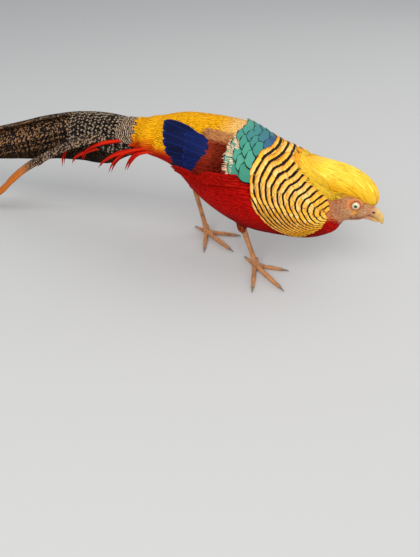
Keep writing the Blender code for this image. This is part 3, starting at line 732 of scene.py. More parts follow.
@dataclass
class Skin:
    """The bird's bare form under its feathers, in one piece, and where things lie on it."""

    voxel: float = 1.7  # The size of its faces
    depth: float = 2.0  # How far it lies inside the outline of the body's feathers
    crest_depth: float = 1.2  # How far inside the crest's
    head_depth: float = 0.9  # How far inside the head's
    tail_depth: float = 1.5  # How far inside the tail's
    belly: float = 0.1  # How much the torso's underside is flattened
    ring: int = 24  # Points round a thigh
    rings: int = 14  # Rings along a thigh

    def __post_init__(self) -> None:
        """Builds the skin and the tree that finds its surface."""
        self.torso = Form(TORSO, -self.depth, self.belly)
        self.crest = Form(CREST, -self.crest_depth)
        self.piece = self._mould()
        mesh = self.piece.data
        count = len(mesh.vertices)
        flat = np.empty(count * 3)
        mesh.vertices.foreach_get("co", flat)
        self.points = (flat.reshape(-1, 3) - SHIFT) / MM
        self.tree = BVHTree.FromPolygons(self.points.tolist(), [tuple(p.vertices) for p in mesh.polygons])
        self._dress()

    def _mould(self) -> Piece:
        """Joins the forms and remeshes them into one skin.

        Returns:
            The skin.
        """
        parts = [
            self.torso.mesh(60, 48),
            Form(NECK, -self.depth).mesh(30, 40),
            Form(HEAD, -self.head_depth).mesh(36, 40),
            self.crest.mesh(40, 36),
            Form(TAIL_BASE, -self.tail_depth).mesh(24, 32),
        ]
        for name, side in SIDES:
            parts.append(close_rings(self.thigh(name)))
            # The swellings of the socket, the brow and the wattle, placed from the eye.
            for along, out, up, radius, squash in (
                (0, -0.6, 0, 5.6, (1.25, 0.64, 1.1)),
                (0.5, -2.0, 4.6, 3.2, (2.2, 0.8, 0.8)),
                (WATTLE[0] - EYE[0], 0.2, WATTLE[1] - EYE[2], 2.3, (1.1, 0.8, 1.2)),
            ):
                spot = (EYE[0] + along, side * (EYE[1] + out), EYE[2] + up)
                parts.append(ball(spot, radius, squash))
        pieces = [make_object("form", *part) for part in parts]
        skin = pieces[0]
        with bpy.context.temp_override(active_object=skin, selected_editable_objects=pieces):
            bpy.ops.object.join()
        skin.name = "skin"
        remesh = skin.modifiers.new("remesh", "REMESH")
        remesh.mode = "VOXEL"
        remesh.voxel_size = self.voxel * MM
        smooth = skin.modifiers.new("smooth", "SMOOTH")
        smooth.factor = 0.5
        smooth.iterations = 3
        bake_modifiers(skin)
        skin.data.polygons.foreach_set("use_smooth", [True] * len(skin.data.polygons))
        return skin

    def _dress(self) -> None:
        """Gives the skin its colours, its map and its material."""
        mesh = self.piece.data
        tint = mesh.attributes.new("tint", "FLOAT_COLOR", "POINT")
        shades = np.concatenate([plumage_colour(self.points) * 0.9, np.full((len(self.points), 1), 0.5)], 1)
        tint.data.foreach_set("color", shades.astype(np.float32).ravel())
        corners = np.empty(len(mesh.loops), np.int32)
        mesh.loops.foreach_get("vertex_index", corners)
        layer = mesh.uv_layers.new(name="OFBake")
        layer.data.foreach_set("uv", unwrap(self.points)[corners].astype(np.float32).ravel())
        shader = Shader("bare skin and down", 0.7, 0.2)
        grain = shader.noise(shader.place(), 420, 3)
        shade = shader.blend(0.3, shader.tint(), shader.join(grain, grain, grain), "OVERLAY")
        shader.colour(shade).bump(grain, 0.0006, 0.6)
        mesh.materials.clear()
        mesh.materials.append(shader.material)
        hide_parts("torso", "neck", "head", "thigh_right", "thigh_left")
        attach(self.piece, "root")

    def nearest(self, point: Array) -> tuple[Array, Array]:
        """The nearest place on the skin and its normal there."""
        place, normal = self.tree.find_nearest(Vector(point))[:2]
        return np.array(place), np.array(normal)

    def follow(self, root: Array, way: Sequence[float], length: float, heights: Sequence[float]) -> Laid:
        """Lays a shaft along the skin.

        Args:
            root: Where it starts, in mm.
            way: The direction that it sets out in.
            length: How long it is.
            heights: Its height over the skin at even steps.

        Returns:
            The places, the normals and the directions.
        """
        steps = len(heights) - 1
        place, normal = self.nearest(root)
        way = np.asarray(way, float)
        places, normals, ways = [], [], []
        for i, height in enumerate(heights):
            way = unit(way - normal * np.dot(way, normal))
            places.append(place + normal * height)
            normals.append(normal)
            ways.append(way)
            if i < steps:
                found, fresh = self.nearest(place + way * (length / steps))
                normal = unit(normal * 0.35 + fresh * 0.65)
                place = found
        return np.array(places), np.array(normals), np.array(ways)

    def cast(self, x: float, z: float, side: int) -> Optional[Array]:
        """The outermost place on one side of the skin at x and z, or None."""
        place = self.tree.ray_cast(Vector((x, side * 200.0, z)), Vector((0, -side, 0)))[0]
        return None if place is None else np.array(place)

    def around(self, x: float, height: float, turn: float, side: int) -> Optional[Array]:
        """The place on the skin at x, seen at an angle in radians from the top of an axis at a height."""
        way = Vector((0, side * math.sin(turn), math.cos(turn)))
        place = self.tree.ray_cast(Vector((x, 0, height)), way)[0]
        return None if place is None else np.array(place)

    def thigh(self, name: str) -> Array:
        """Rings of the feathered thigh, from inside the belly to where the bare shank starts."""
        hock = np.array(HOCKS[name], float)
        low = [shank_at(name, z) for z in (THIGH_END[name] + 9, THIGH_END[name])]
        path = np.array([hock + (22, 0, 32), hock + (12, 0, 18), *low])
        return tube_rings(path, np.array([13.5, 11, 6, 3.4]), self.ring, self.rings)


def unwrap(points: Array) -> Array:
    """The skin's own unwrap: the body cut along its belly, and each thigh in a patch of its own.

    Args:
        points: Places in mm.

    Returns:
        A place in the map for each.
    """
    x, y, z = points[:, 0], points[:, 1], points[:, 2]
    spine = np.interp(x, [-180, -118, -22, 52, 104, 145], [126, 139, 117, 96, 100, 97])
    angle = np.arctan2(y, z - spine) / (2 * math.pi) + 0.5
    body = np.stack([0.02 + 0.96 * (x + 190) / 350, 0.24 + 0.74 * angle], 1)
    for k, (name, _) in enumerate(SIDES):
        hock = np.array(HOCKS[name], float)
        share = (hock[2] + 20 - z) / 90
        centre_x = hock[0] + (FEET[name][0] - hock[0]) * (hock[2] - z) / (hock[2] - ANKLE)
        turn = np.arctan2(y - hock[1], x - centre_x) / (2 * math.pi) + 0.5
        near = (np.hypot(x - centre_x, y - hock[1]) < 17) & (z < np.where(name == "right", 56, 92))
        patch = np.stack([0.02 + 0.46 * turn + 0.5 * k, 0.01 + 0.19 * np.clip(share, 0, 1)], 1)
        body = np.where(near[:, None], patch, body)
    return np.clip(body, 0.003, 0.997)


def fan_share(points: Array) -> tuple[Array, Array]:
    """The angle round the cheek, in degrees, and the share of the ruff's reach, at each place."""
    dx, dz = RUFF_CENTRE[0] - points[:, 0], points[:, 2] - RUFF_CENTRE[1]
    turn = np.degrees(np.arctan2(dz, dx))
    return turn, np.hypot(dx, dz) / reach_of(turn)


def over_throat(x: Array, z: Array) -> Array:
    """How far places lie above the edge where the ruff meets the red throat, in mm."""
    (ax, az), (bx, bz) = THROAT_EDGE
    return ((z - az) * (bx - ax) - (x - ax) * (bz - az)) / math.hypot(bx - ax, bz - az)


def over_crest(place: Array) -> float:
    """How far a place lies above the crest's lower edge, in mm, or far below it behind the crest."""
    return float(place[2] - height_at(CREST_EDGE, place[0])) if place[0] > 56 else -99.0


def plumage_colour(points: Array) -> Array:
    """The plumage's ground colour all over the body, which skin and coat share.

    Args:
        points: Places in mm.

    Returns:
        A linear colour for each.
    """
    x, z = points[:, 0], points[:, 2]
    # The body: scarlet below, gold above, and a darker red painted as shade under the belly.
    above = z - height_at(RUMP_EDGE, x)
    soft = 1 + 0.9 * ramp(-70, -90, x)
    shade = mix(ramp(-9, -1, above / soft), SCARLET, ORANGE)
    shade = mix(ramp(-3, 4, above / soft), shade, GOLD)
    shade = mix(ramp(92, 56, z), shade, SHADED_UNDERSIDE_RED)
    # The pale band behind the mantle, the ruff and the chin.
    turn, share = fan_share(points)
    shade = mix(ramp(1.5, 1.22, share) * ramp(28, 32, turn) * (share > 1) * 0.65, shade, BACK_PALE)
    shade = mix(ramp(1.0, 0.95, share) * ramp(-1.0, 1.0, over_throat(x, z)), shade, RUFF_GOLD)
    chin = ramp(97, 101, x + 0.35 * (z - 92))
    shade = mix(chin, shade, SCARLET)
    # The face, with its gape, wattle and eye ring.
    face = chin * ramp(-2, 3, z - np.interp(x, [100, 112, 118, 126, 140], [88, 84, 78, 73, 72]))
    shade = mix(face, shade, mix(ramp(104, 126, x), CHEEK_BROWN, RUST))
    (ax, az), (bx, bz) = GAPE
    along = np.clip(((x - ax) * (bx - ax) + (z - az) * (bz - az)) / ((bx - ax) ** 2 + (bz - az) ** 2), 0, 1)
    gape = np.hypot(x - ax - along * (bx - ax), z - az - along * (bz - az))
    shade = mix(face * 0.75 * ramp(3.4, 1.2, gape), shade, GAPE_RED)
    shade = mix(face * ramp(3.6, 2.0, np.hypot(x - WATTLE[0], z - WATTLE[1])), shade, WATTLE_YELLOW)
    around = np.hypot((x - EYE[0]) / 1.2, z - EYE[2])
    shade = mix(face * 0.55 * ramp(9.0, 6.0, around), shade, ORBIT_ORANGE)
    # The crest.
    over = z - height_at(CREST_EDGE, x)
    hood = ramp(-1.5, 2.0, over) * ramp(60, 66, x)
    return mix(hood, shade, mix(ramp(0, 6, over), CREST_ROOT, YELLOW))


def tube_rings(path: Array, radii: Array, segments: int, steps: int) -> Array:
    """Rings of points round a smooth curve through a path.

    Args:
        path: The path's points.
        radii: The radius at each.
        segments: Points in a ring.
        steps: How many rings.

    Returns:
        The rings.
    """
    rows = spline(np.concatenate([path, radii[:, None]], 1), np.linspace(0, 1, steps))
    places, radii = rows[:, :3], rows[:, 3]
    ways = unit(np.gradient(places, axis=0))
    side = unit(np.cross(ways, np.array([0.13, 0.21, 1.0])))
    for i in range(1, len(side)):
        if np.dot(side[i], side[i - 1]) < 0:
            side[i] *= -1
    up = np.cross(side, ways)
    turn = circle(segments)[None, :, None]
    thick = radii[:, None, None]
    return places[:, None] + side[:, None] * (np.cos(turn) * thick) + up[:, None] * (np.sin(turn) * thick)


def ball(
    centre: Sequence[float], radius: float, squash: Sequence[float] = (1, 1, 1), rings: int = 20, segments: int = 28
) -> Solid:
    """A closed ball about a point in mm, with its poles on the Y axis.

    Args:
        centre: Its middle.
        radius: Its radius.
        squash: How much of the radius each axis has.
        rings: Rings from pole to pole.
        segments: Points in a ring.

    Returns:
        Its points and faces.
    """
    lift = np.linspace(0.02, math.pi - 0.02, rings)
    rise, spin = np.meshgrid(lift, circle(segments), indexing="ij")
    grid = np.stack([np.sin(rise) * np.cos(spin), np.cos(rise), np.sin(rise) * np.sin(spin)], -1)
    return close_rings(np.asarray(centre, float) + grid * radius * np.asarray(squash, float))


@dataclass
class Plumes:
    """Feathers of one kind, gathered to be made as one mesh.

    Each list holds one entry for each feather: its shaft's places, normals and directions, its half
    width, its roll, its colours and the place on the skin that it belongs to.
    """

    name: str  # The piece's name
    shape: VaneShape  # Their outline and section
    finish: FeatherFinish  # Their looks
    slot: str  # The record's material slot, which is not used
    skin: Optional[Skin] = None  # The skin that they lie along, or None if they stand free
    places: list[Array] = field(default_factory=list)
    normals: list[Array] = field(default_factory=list)
    ways: list[Array] = field(default_factory=list)
    halves: list[float] = field(default_factory=list)
    rolls: list[float] = field(default_factory=list)
    tints: list[Array] = field(default_factory=list)
    roots: list[Array] = field(default_factory=list)

    def add(
        self,
        laid: Laid,
        half: float,
        tint: Sequence[float],
        roll: float = 0.0,
        root: Optional[Array] = None,
    ) -> None:
        """Adds one feather.

        Args:
            laid: Its places, normals and directions.
            half: Its greatest half width.
            tint: Its colour, or one at each place.
            roll: How far one that lies on the skin rolls to its side, in radians.
            root: The place on the skin that it belongs to.
        """
        places, normals, ways = laid
        self.places.append(places)
        self.normals.append(normals)
        self.ways.append(ways)
        self.halves.append(half)
        self.rolls.append(roll)
        self.tints.append(np.broadcast_to(np.asarray(tint, float), (len(places), 3)))
        self.roots.append(places[0] if root is None else root)

    def make(self, seed: int) -> Pieces:
        """Makes the mesh, or several where one would hold too many triangles.

        Args:
            seed: Seeds what varies from feather to feather.

        Returns:
            The pieces.
        """
        shape = self.shape
        each = 4 * (shape.columns - 1) * (shape.rows - 1)
        count = len(self.places)
        share = max(1, math.ceil(count * each / MOST))
        tones = np.random.default_rng(seed).random(count)
        material = self.finish.dress()
        made = []
        for number, chosen in enumerate(np.array_split(np.arange(count), share)):
            name = self.name if share == 1 else f"{self.name}_{number + 1}"
            piece = self._mesh(name, chosen, tones)
            piece.data.materials.append(material)
            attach(piece, "root")
            made.append(piece)
        return made

    def _grid(self, chosen: Array) -> tuple[Array, Array, Array, Array]:
        """Reads the gathered shafts at the shape's own rows.

        Args:
            chosen: Which feathers.

        Returns:
            Places, normals, directions and colours, by feather and row.
        """
        rows = self.shape.rows
        wanted = np.linspace(0, 1, rows)
        read = []
        for source in (self.places, self.normals, self.ways, self.tints):
            kept = [table if len(table) == rows else spline(table, wanted) for table in (source[i] for i in chosen)]
            read.append(np.array(kept))
        return read[0], unit(read[1]), unit(read[2]), np.clip(read[3], 0, 1)

    def _drape(self, flat: Array, place: Array, tilt: Array) -> tuple[Array, Array]:
        """Bends vanes so that they lie along the skin at their shafts' heights.

        Args:
            flat: The points of the flat vanes, by feather, row and column.
            place: The shafts' places, by feather and row.
            tilt: How far each point lies above the shaft's height.

        Returns:
            The points and the normals there.
        """
        find = self.skin.tree.find_nearest
        hits = [find(Vector(point))[:2] for point in flat.reshape(-1, 3)]
        spots = np.array([tuple(hit[0]) for hit in hits]).reshape(flat.shape)
        normals = np.array([tuple(hit[1]) for hit in hits]).reshape(flat.shape)
        middle = flat.shape[2] // 2
        lift = ((place - spots[:, :, middle]) * normals[:, :, middle]).sum(-1)
        return spots + normals * (lift[:, :, None] + tilt)[..., None], normals

    def _mesh(self, name: str, chosen: Array, tones: Array) -> Piece:
        """Makes one mesh of closed vanes.

        Args:
            name: The piece's name.
            chosen: Which feathers.
            tones: A number for every feather.

        Returns:
            The object.
        """
        shape = self.shape
        rows, columns = shape.rows, shape.columns
        place, normal, way, tint = self._grid(chosen)
        side = unit(np.cross(normal, way))
        along = np.linspace(0, 1, rows)
        across = np.linspace(-1, 1, columns)
        half = np.array(self.halves)[chosen][:, None] * shape.outline(along)[None]
        spread = half[:, :, None] * across[None, None]
        length = np.linalg.norm(np.diff(place, axis=1), axis=2).sum(1)
        saw = ((np.arange(columns) + 1) % 2).astype(float)
        saw[columns // 2] = 0.0
        fray = shape.fray * length[:, None, None] * saw[None, None] * (along**3)[None, :, None]
        bow = shape.bow * half[:, :, None] * (across**2)[None, None] * (along**2)[None, :, None]
        top = place[:, :, None] + side[:, :, None] * spread[..., None] - way[:, :, None] * (fray + bow)[..., None]
        droop = -shape.camber * half[:, :, None] * across[None, None] ** 2
        if self.skin is None:
            top = top + normal[:, :, None] * droop[..., None]
            up = np.broadcast_to(normal[:, :, None], top.shape)
        else:
            roll = np.array(self.rolls)[chosen][:, None, None]
            top, up = self._drape(top, place, droop + spread * roll)
        deep = shape.thick * (1 - across**2)[None, :] * (1 - 0.6 * along)[:, None] + 0.04
        under = top - up * deep[None, ..., None]
        grid = rows * columns
        count = len(chosen)
        points = np.concatenate([top.reshape(count, grid, 3), under.reshape(count, grid, 3)], 1)
        index = np.arange(grid).reshape(rows, columns)
        lower = index.copy()
        lower[1:-1, 1:-1] += grid
        quads = [np.stack([m[:-1, :-1], m[:-1, 1:], m[1:, 1:], m[1:, :-1]], -1).reshape(-1, 4) for m in (index, lower)]
        faces = np.concatenate([quads[0], quads[1][:, ::-1]])
        used = np.unique(faces)
        number = np.full(2 * grid, -1)
        number[used] = np.arange(len(used))
        size = len(used)
        corners = (number[faces][None] + (np.arange(count) * size)[:, None, None]).reshape(-1)
        flat = np.stack(np.broadcast_arrays((across[None] + 1) / 2, along[:, None]), -1).reshape(-1, 2)
        flat = np.concatenate([flat, flat])[used]
        span = np.stack(np.broadcast_arrays(spread, length[:, None, None] * along[None, :, None]), -1)
        span = span.reshape(count, grid, 2) / SPAN
        span = np.concatenate([span, span], 1)[:, used]
        shades = np.repeat(tint, columns, axis=1)
        shades = np.concatenate([shades, shades], 1)[:, used]
        alpha = np.broadcast_to(tones[chosen][:, None, None], (count, size, 1))
        roots = unwrap(np.array(self.roots)[chosen])
        bake = roots[:, None] + (flat[None] - 0.5) * 0.003
        maps = {"Vane": np.broadcast_to(flat[None], (count, size, 2)), "Span": span, "OFBake": bake}
        if self.finish.pattern is Pattern.BARRED:
            turn, share = fan_share(points.reshape(-1, 3))
            maps["Fan"] = np.stack([share, turn / 180], 1).reshape(count, 2 * grid, 2)[:, used]
        return self._write(name, points[:, used], corners, maps, np.concatenate([shades, alpha], 2))

    @staticmethod
    def _write(
        name: str, points: Array, corners: Array, maps: dict[str, Array], shades: Array
    ) -> Piece:
        """Fills a mesh from arrays.

        Args:
            name: The piece's name.
            points: Places by feather and point.
            corners: The quads' corners, one after another.
            maps: Each map's places by feather and point.
            shades: Colour and tone by feather and point.

        Returns:
            The object.
        """
        count, size = points.shape[:2]
        mesh = bpy.data.meshes.new(name)
        mesh.vertices.add(count * size)
        mesh.vertices.foreach_set("co", (points.reshape(-1, 3) * MM + SHIFT).astype(np.float32).ravel())
        mesh.loops.add(len(corners))
        mesh.loops.foreach_set("vertex_index", corners.astype(np.int32))
        quads = len(corners) // 4
        mesh.polygons.add(quads)
        mesh.polygons.foreach_set("loop_start", np.arange(0, len(corners), 4, dtype=np.int32))
        mesh.polygons.foreach_set("use_smooth", np.ones(quads, bool))
        mesh.update(calc_edges=True)
        for key, table in maps.items():
            layer = mesh.uv_layers.new(name=key)
            layer.data.foreach_set("uv", table.reshape(-1, 2)[corners].astype(np.float32).ravel())
        tint = mesh.attributes.new("tint", "FLOAT_COLOR", "POINT")
        tint.data.foreach_set("color", shades.reshape(-1, 4).astype(np.float32).ravel())
        return link_mesh(name, mesh)


SILK = FeatherFinish("silky plume", roughness=0.5, gloss=0.15, streak=0.22, hairy=True)
HAIR = FeatherFinish("hair-like contour feather", roughness=0.7, gloss=0.05, streak=0.25, hairy=True)
SLEEK = FeatherFinish("sleek contour feather", roughness=0.65, gloss=0.04, streak=0.1, hairy=True, relief=0.08)
FACE = FeatherFinish("short face feather", roughness=0.75, gloss=0.08, streak=0.5, hairy=True)
RUFF = FeatherFinish("barred ruff feather", Pattern.BARRED, (0.02, 0.009, 0.007), 0.6, 0.08, 0.35)
MANTLE = FeatherFinish("glossy mantle feather", Pattern.RIMMED, (0.003, 0.007, 0.008), 0.45, 0.2, 0.2)
SCAPULAR = FeatherFinish("maroon shoulder feather", roughness=0.75, gloss=0.04, streak=0.2, hairy=True, relief=0.15)
# Its rims and shaft are lighter blue: partly the feathers' own colour, partly painted highlight along their edges
TERTIAL = FeatherFinish("glossy blue tertial", Pattern.RIMMED, (0.008, 0.025, 0.16), 0.5, 0.08, 0.6, shaft=0.5)
FLIGHT = FeatherFinish("flight feather", Pattern.RIMMED, (0.004, 0.006, 0.006), 0.55, 0.1, 0.3, shaft=0.3)
TAIL = FeatherFinish("spotted tail feather", Pattern.SPOTTED, (0.008, 0.005, 0.004), 0.6, 0.08, 0.4, grain=(2.4, 2.8))
COVERT = FeatherFinish("waved tail covert", Pattern.WAVED, (0.02, 0.01, 0.006), 0.6, 0.1, 0.3, grain=(3, 2.2))
UNDERTAIL = FeatherFinish(
    "freckled side feather of the tail", Pattern.SPOTTED, (0.008, 0.004, 0.002), 0.65, 0.06, 0.4, grain=(2.9, 1.8)
)
FLAME = FeatherFinish(
    "splayed feather, mottled at its root", Pattern.SPOTTED, (0.02, 0.01, 0.006), 0.6, 0.12, 0.5,
    grain=(2.4, 2.2), fade=0.66, shaft=0.2,
)

RUFF_VANE = VaneShape(11, 11, squared, camber=0.02, thick=0.35, bow=0.1)
MANTLE_VANE = VaneShape(13, 13, rounded, camber=0.03, thick=0.4)
FRINGE_VANE = VaneShape(3, 6, pointed, camber=0.0, fray=0.05, thick=0.15)
COAT_VANE = VaneShape(3, 5, pointed, camber=0.0, thick=0.2)
FLANK_VANE = VaneShape(3, 7, pointed, fray=0.05, thick=0.25)
THIGH_VANE = VaneShape(3, 5, pointed, camber=0.15, thick=0.4)
CREST_VANE = VaneShape(5, 8, strand, thick=0.4)
VEIL_VANE = VaneShape(3, 8, strand, camber=0.0, thick=0.3)
FACE_VANE = VaneShape(3, 4, pointed, camber=0.1, thick=0.25)
TERTIAL_VANE = VaneShape(9, 16, rounded, camber=0.04, thick=0.5)
FLIGHT_VANE = VaneShape(5, 12, blade, camber=0.04, thick=0.5)
SCAPULAR_VANE = VaneShape(3, 6, pointed, fray=0.05, thick=0.3)
TAIL_VANE = VaneShape(9, 44, lance, camber=0.16, thick=0.9)
SPLAYED_VANE = VaneShape(9, 30, blade, camber=0.2, thick=0.9)
SPEAR_VANE = VaneShape(5, 16, pointed, camber=0.25, fray=0.04, thick=0.5)
RUMP_VANE = VaneShape(7, 12, rounded, camber=0.04, thick=0.4)
COVERT_VANE = VaneShape(7, 12, rounded, camber=0.18, thick=0.6)


@dataclass
class Plumage:
    """A part of the plumage, laid on the skin with random draws of its own."""

    skin: Skin  # The skin that it lies on
    seed: int = 0  # Seeds the draws
    chance: np.random.Generator = field(init=False)  # Where they come from

    def __post_init__(self) -> None:
        """Starts the draws."""
        self.chance = np.random.default_rng(self.seed)

    def draw(self, low: float, high: float) -> float:
        """A number by chance between two."""
        return self.chance.uniform(low, high)

    def vary(self, most: float, first: Sequence[float], second: Sequence[float]) -> Array:
        """A colour by chance between two, up to a share of the way."""
        return mix(self.chance.random() * most, first, second)


@dataclass
class Cape(Plumage):
    """The ruff and the mantle, which fan out from the cheek in tiers over the neck and shoulders."""

    seed: int = 11
    top: float = 104.0  # The angle round the cheek, in degrees, where a tier is first looked for
    stride: float = 0.15  # How far it turns between places
    ruff_low: float = -80.0  # Where the ruff's tiers end
    overlap: float = 0.15  # How far before its bar a ruff feather is rooted, as a share of the ruff's reach
    # Where the mantle's tiers are rooted, as shares of the ruff's reach
    mantle_tiers: Row = (0.95, 1.02, 1.09, 1.155)
    mantle_low: float = 26.0  # Where they end
    mantle_spacing: float = 11.5  # The distance between the mantle's feathers
    mantle_half: float = 11.0  # Their half width
    fringe_tiers: Row = (1.22, 1.25, 1.28)  # Where the fringe's tiers are rooted
    fringe_span: Row = (22.0, 44.0)  # The angles between which they lie
    fringe_spacing: float = 0.8  # The distance between the fringe's strands

    def _arc(self, share: float, low: float, side: int) -> list[tuple[float, float, Array]]:
        """Places along a tier on one side.

        Args:
            share: Where the tier lies, as a share of the ruff's reach.
            low: The angle where it ends.
            side: Which side of the bird.

        Returns:
            The distance from the ridge, the angle and the place, from the top down.
        """
        found: list[tuple[float, float, Array]] = []
        for turn in np.arange(self.top, low, -self.stride):
            radius = float(reach_of(turn)) * share
            x = RUFF_CENTRE[0] - radius * math.cos(math.radians(turn))
            z = RUFF_CENTRE[1] + radius * math.sin(math.radians(turn))
            place = self.skin.cast(x, z, side)
            if place is None:
                continue
            gone = abs(place[1]) if not found else found[-1][0] + float(np.linalg.norm(place - found[-1][2]))
            found.append((gone, float(turn), place))
        return found

    def _roots(self, share: float, low: float, spacing: float, odd: bool) -> list[tuple[int, float, Array]]:
        """Evenly spaced roots along a tier on both sides.

        Args:
            share: Where the tier lies, as a share of the ruff's reach.
            low: The angle where it ends.
            spacing: The distance between roots.
            odd: Whether they stand between those of the tiers next to it.

        Returns:
            The side, the angle and the place of each.
        """
        roots = []
        for _, side in SIDES:
            wanted = spacing * (0.5 if odd else 0.0 if side > 0 else 1.0)
            for gone, turn, place in self._arc(share, low, side):
                if gone >= wanted:
                    roots.append((side, turn, place))
                    wanted += spacing
        return roots

    @staticmethod
    def _away(turn: float) -> Array:
        """The direction square to the ruff's arcs at an angle, in the plane of symmetry."""
        slope = float(reach_of(turn + 2) - reach_of(turn - 2)) / math.radians(4)
        angle = math.radians(turn)
        out = np.array([-math.cos(angle), 0.0, math.sin(angle)])
        round_way = np.array([math.sin(angle), 0.0, math.cos(angle)])
        return unit(out - round_way * slope / float(reach_of(turn)) * 0.75)

    def _lay(self, turn: float, root: Array, length: float, low: float, high: float) -> Laid:
        """A shaft that lies away from the cheek, from one height at its root to another at its tip."""
        return self.skin.follow(root, self._away(turn), length, low + (high - low) * np.linspace(0, 1, 6))

    def ruff(self) -> Pieces:
        """The ruff of barred golden feathers."""
        plumes = Plumes("ruff", RUFF_VANE, RUFF, "ruff_feather", self.skin)
        for tier in range(1, RUFF_BARS):
            bar = RUFF_FIRST + RUFF_STEP * tier
            share = max(bar - self.overlap, 0.05)
            half = 2.6 + 6.2 * share
            for side, turn, root in self._roots(share, self.ruff_low, half * 0.62, tier % 2 == 1):
                length = (bar + 0.03 - share) * float(reach_of(turn)) / max(float(self._away(turn)[0] ** 2), 0.8)
                laid = self._lay(turn, root, length, 0.2, 2.2)
                tip = laid[0][-1]
                if over_crest(root) > 0 or over_crest(tip) > 2:
                    continue
                if over_throat(root[0], root[2]) < 0 or over_throat(tip[0], tip[2]) < -0.5:
                    continue
                tint = self.vary(1.0, RUFF_GOLD, RUFF_LIGHT)
                # Painted highlight: pale streaks painted over the middle of the ruff, fading away from it
                painted_highlight = ramp(50, 22, abs(turn - 20)) * self.chance.random()
                tints = np.tile(mix(painted_highlight * 0.7, tint, RUFF_PAINTED_HIGHLIGHT), (6, 1))
                tints[-1] = RUFF_TIP
                plumes.add(laid, half, tints, -0.03 * side * self.draw(0.4, 1.4), root)
        return plumes.make(1)

    def mantle(self) -> Pieces:
        """The mantle of broad green feathers rimmed with black, blue along the front of the ridge."""
        plumes = Plumes("mantle", MANTLE_VANE, MANTLE, "ruff_feather", self.skin)
        for tier, share in enumerate(self.mantle_tiers):
            for side, turn, root in self._roots(share, self.mantle_low, self.mantle_spacing, tier % 2 == 1):
                blue = float(ramp(26, 8, abs(root[1]))) * (1 - 0.27 * tier) + self.draw(-0.12, 0.12)
                blue = np.clip(blue, 0, 1)
                tint = mix(blue, TEAL, MANTLE_BLUE)
                tint = mix(self.draw(0, 0.4) * (1 - 0.6 * blue), tint, MANTLE_LIGHT)
                tint = tint * (1 - 0.25 * float(ramp(31, 24, turn)))
                top = float(ramp(34, 42, turn))
                length = (0.2 - 0.06 * top) * float(reach_of(turn))
                laid = self._lay(turn - 6, root, length, 0.25, 3.5 - 2.0 * top)
                plumes.add(laid, self.mantle_half, tint, -0.04 * side * (1 - 0.7 * top), root)
        return plumes.make(2)

    def fringe(self) -> Pieces:
        """The pale downy fringe where the mantle ends."""
        plumes = Plumes("mantle_fringe", FRINGE_VANE, HAIR, "golden_feather", self.skin)
        low, high = self.fringe_span
        for tier, share in enumerate(self.fringe_tiers):
            for _, turn, root in self._roots(share, low, self.fringe_spacing, tier % 2 == 1):
                if turn > high:
                    continue
                top = float(ramp(31, 36, turn))
                tint = mix(top * 0.7, self.vary(0.6, DOWN, DOWN_TAN), DOWN_GOLD)
                length = self.draw(0.06, 0.11) * float(reach_of(turn))
                laid = self._lay(turn + self.draw(-14, 6), root, length, 1.6 - 1.1 * top, 3.6 - 2.0 * top)
                plumes.add(laid, self.draw(0.35, 0.65), tint, 0.0, root)
        return plumes.make(3)


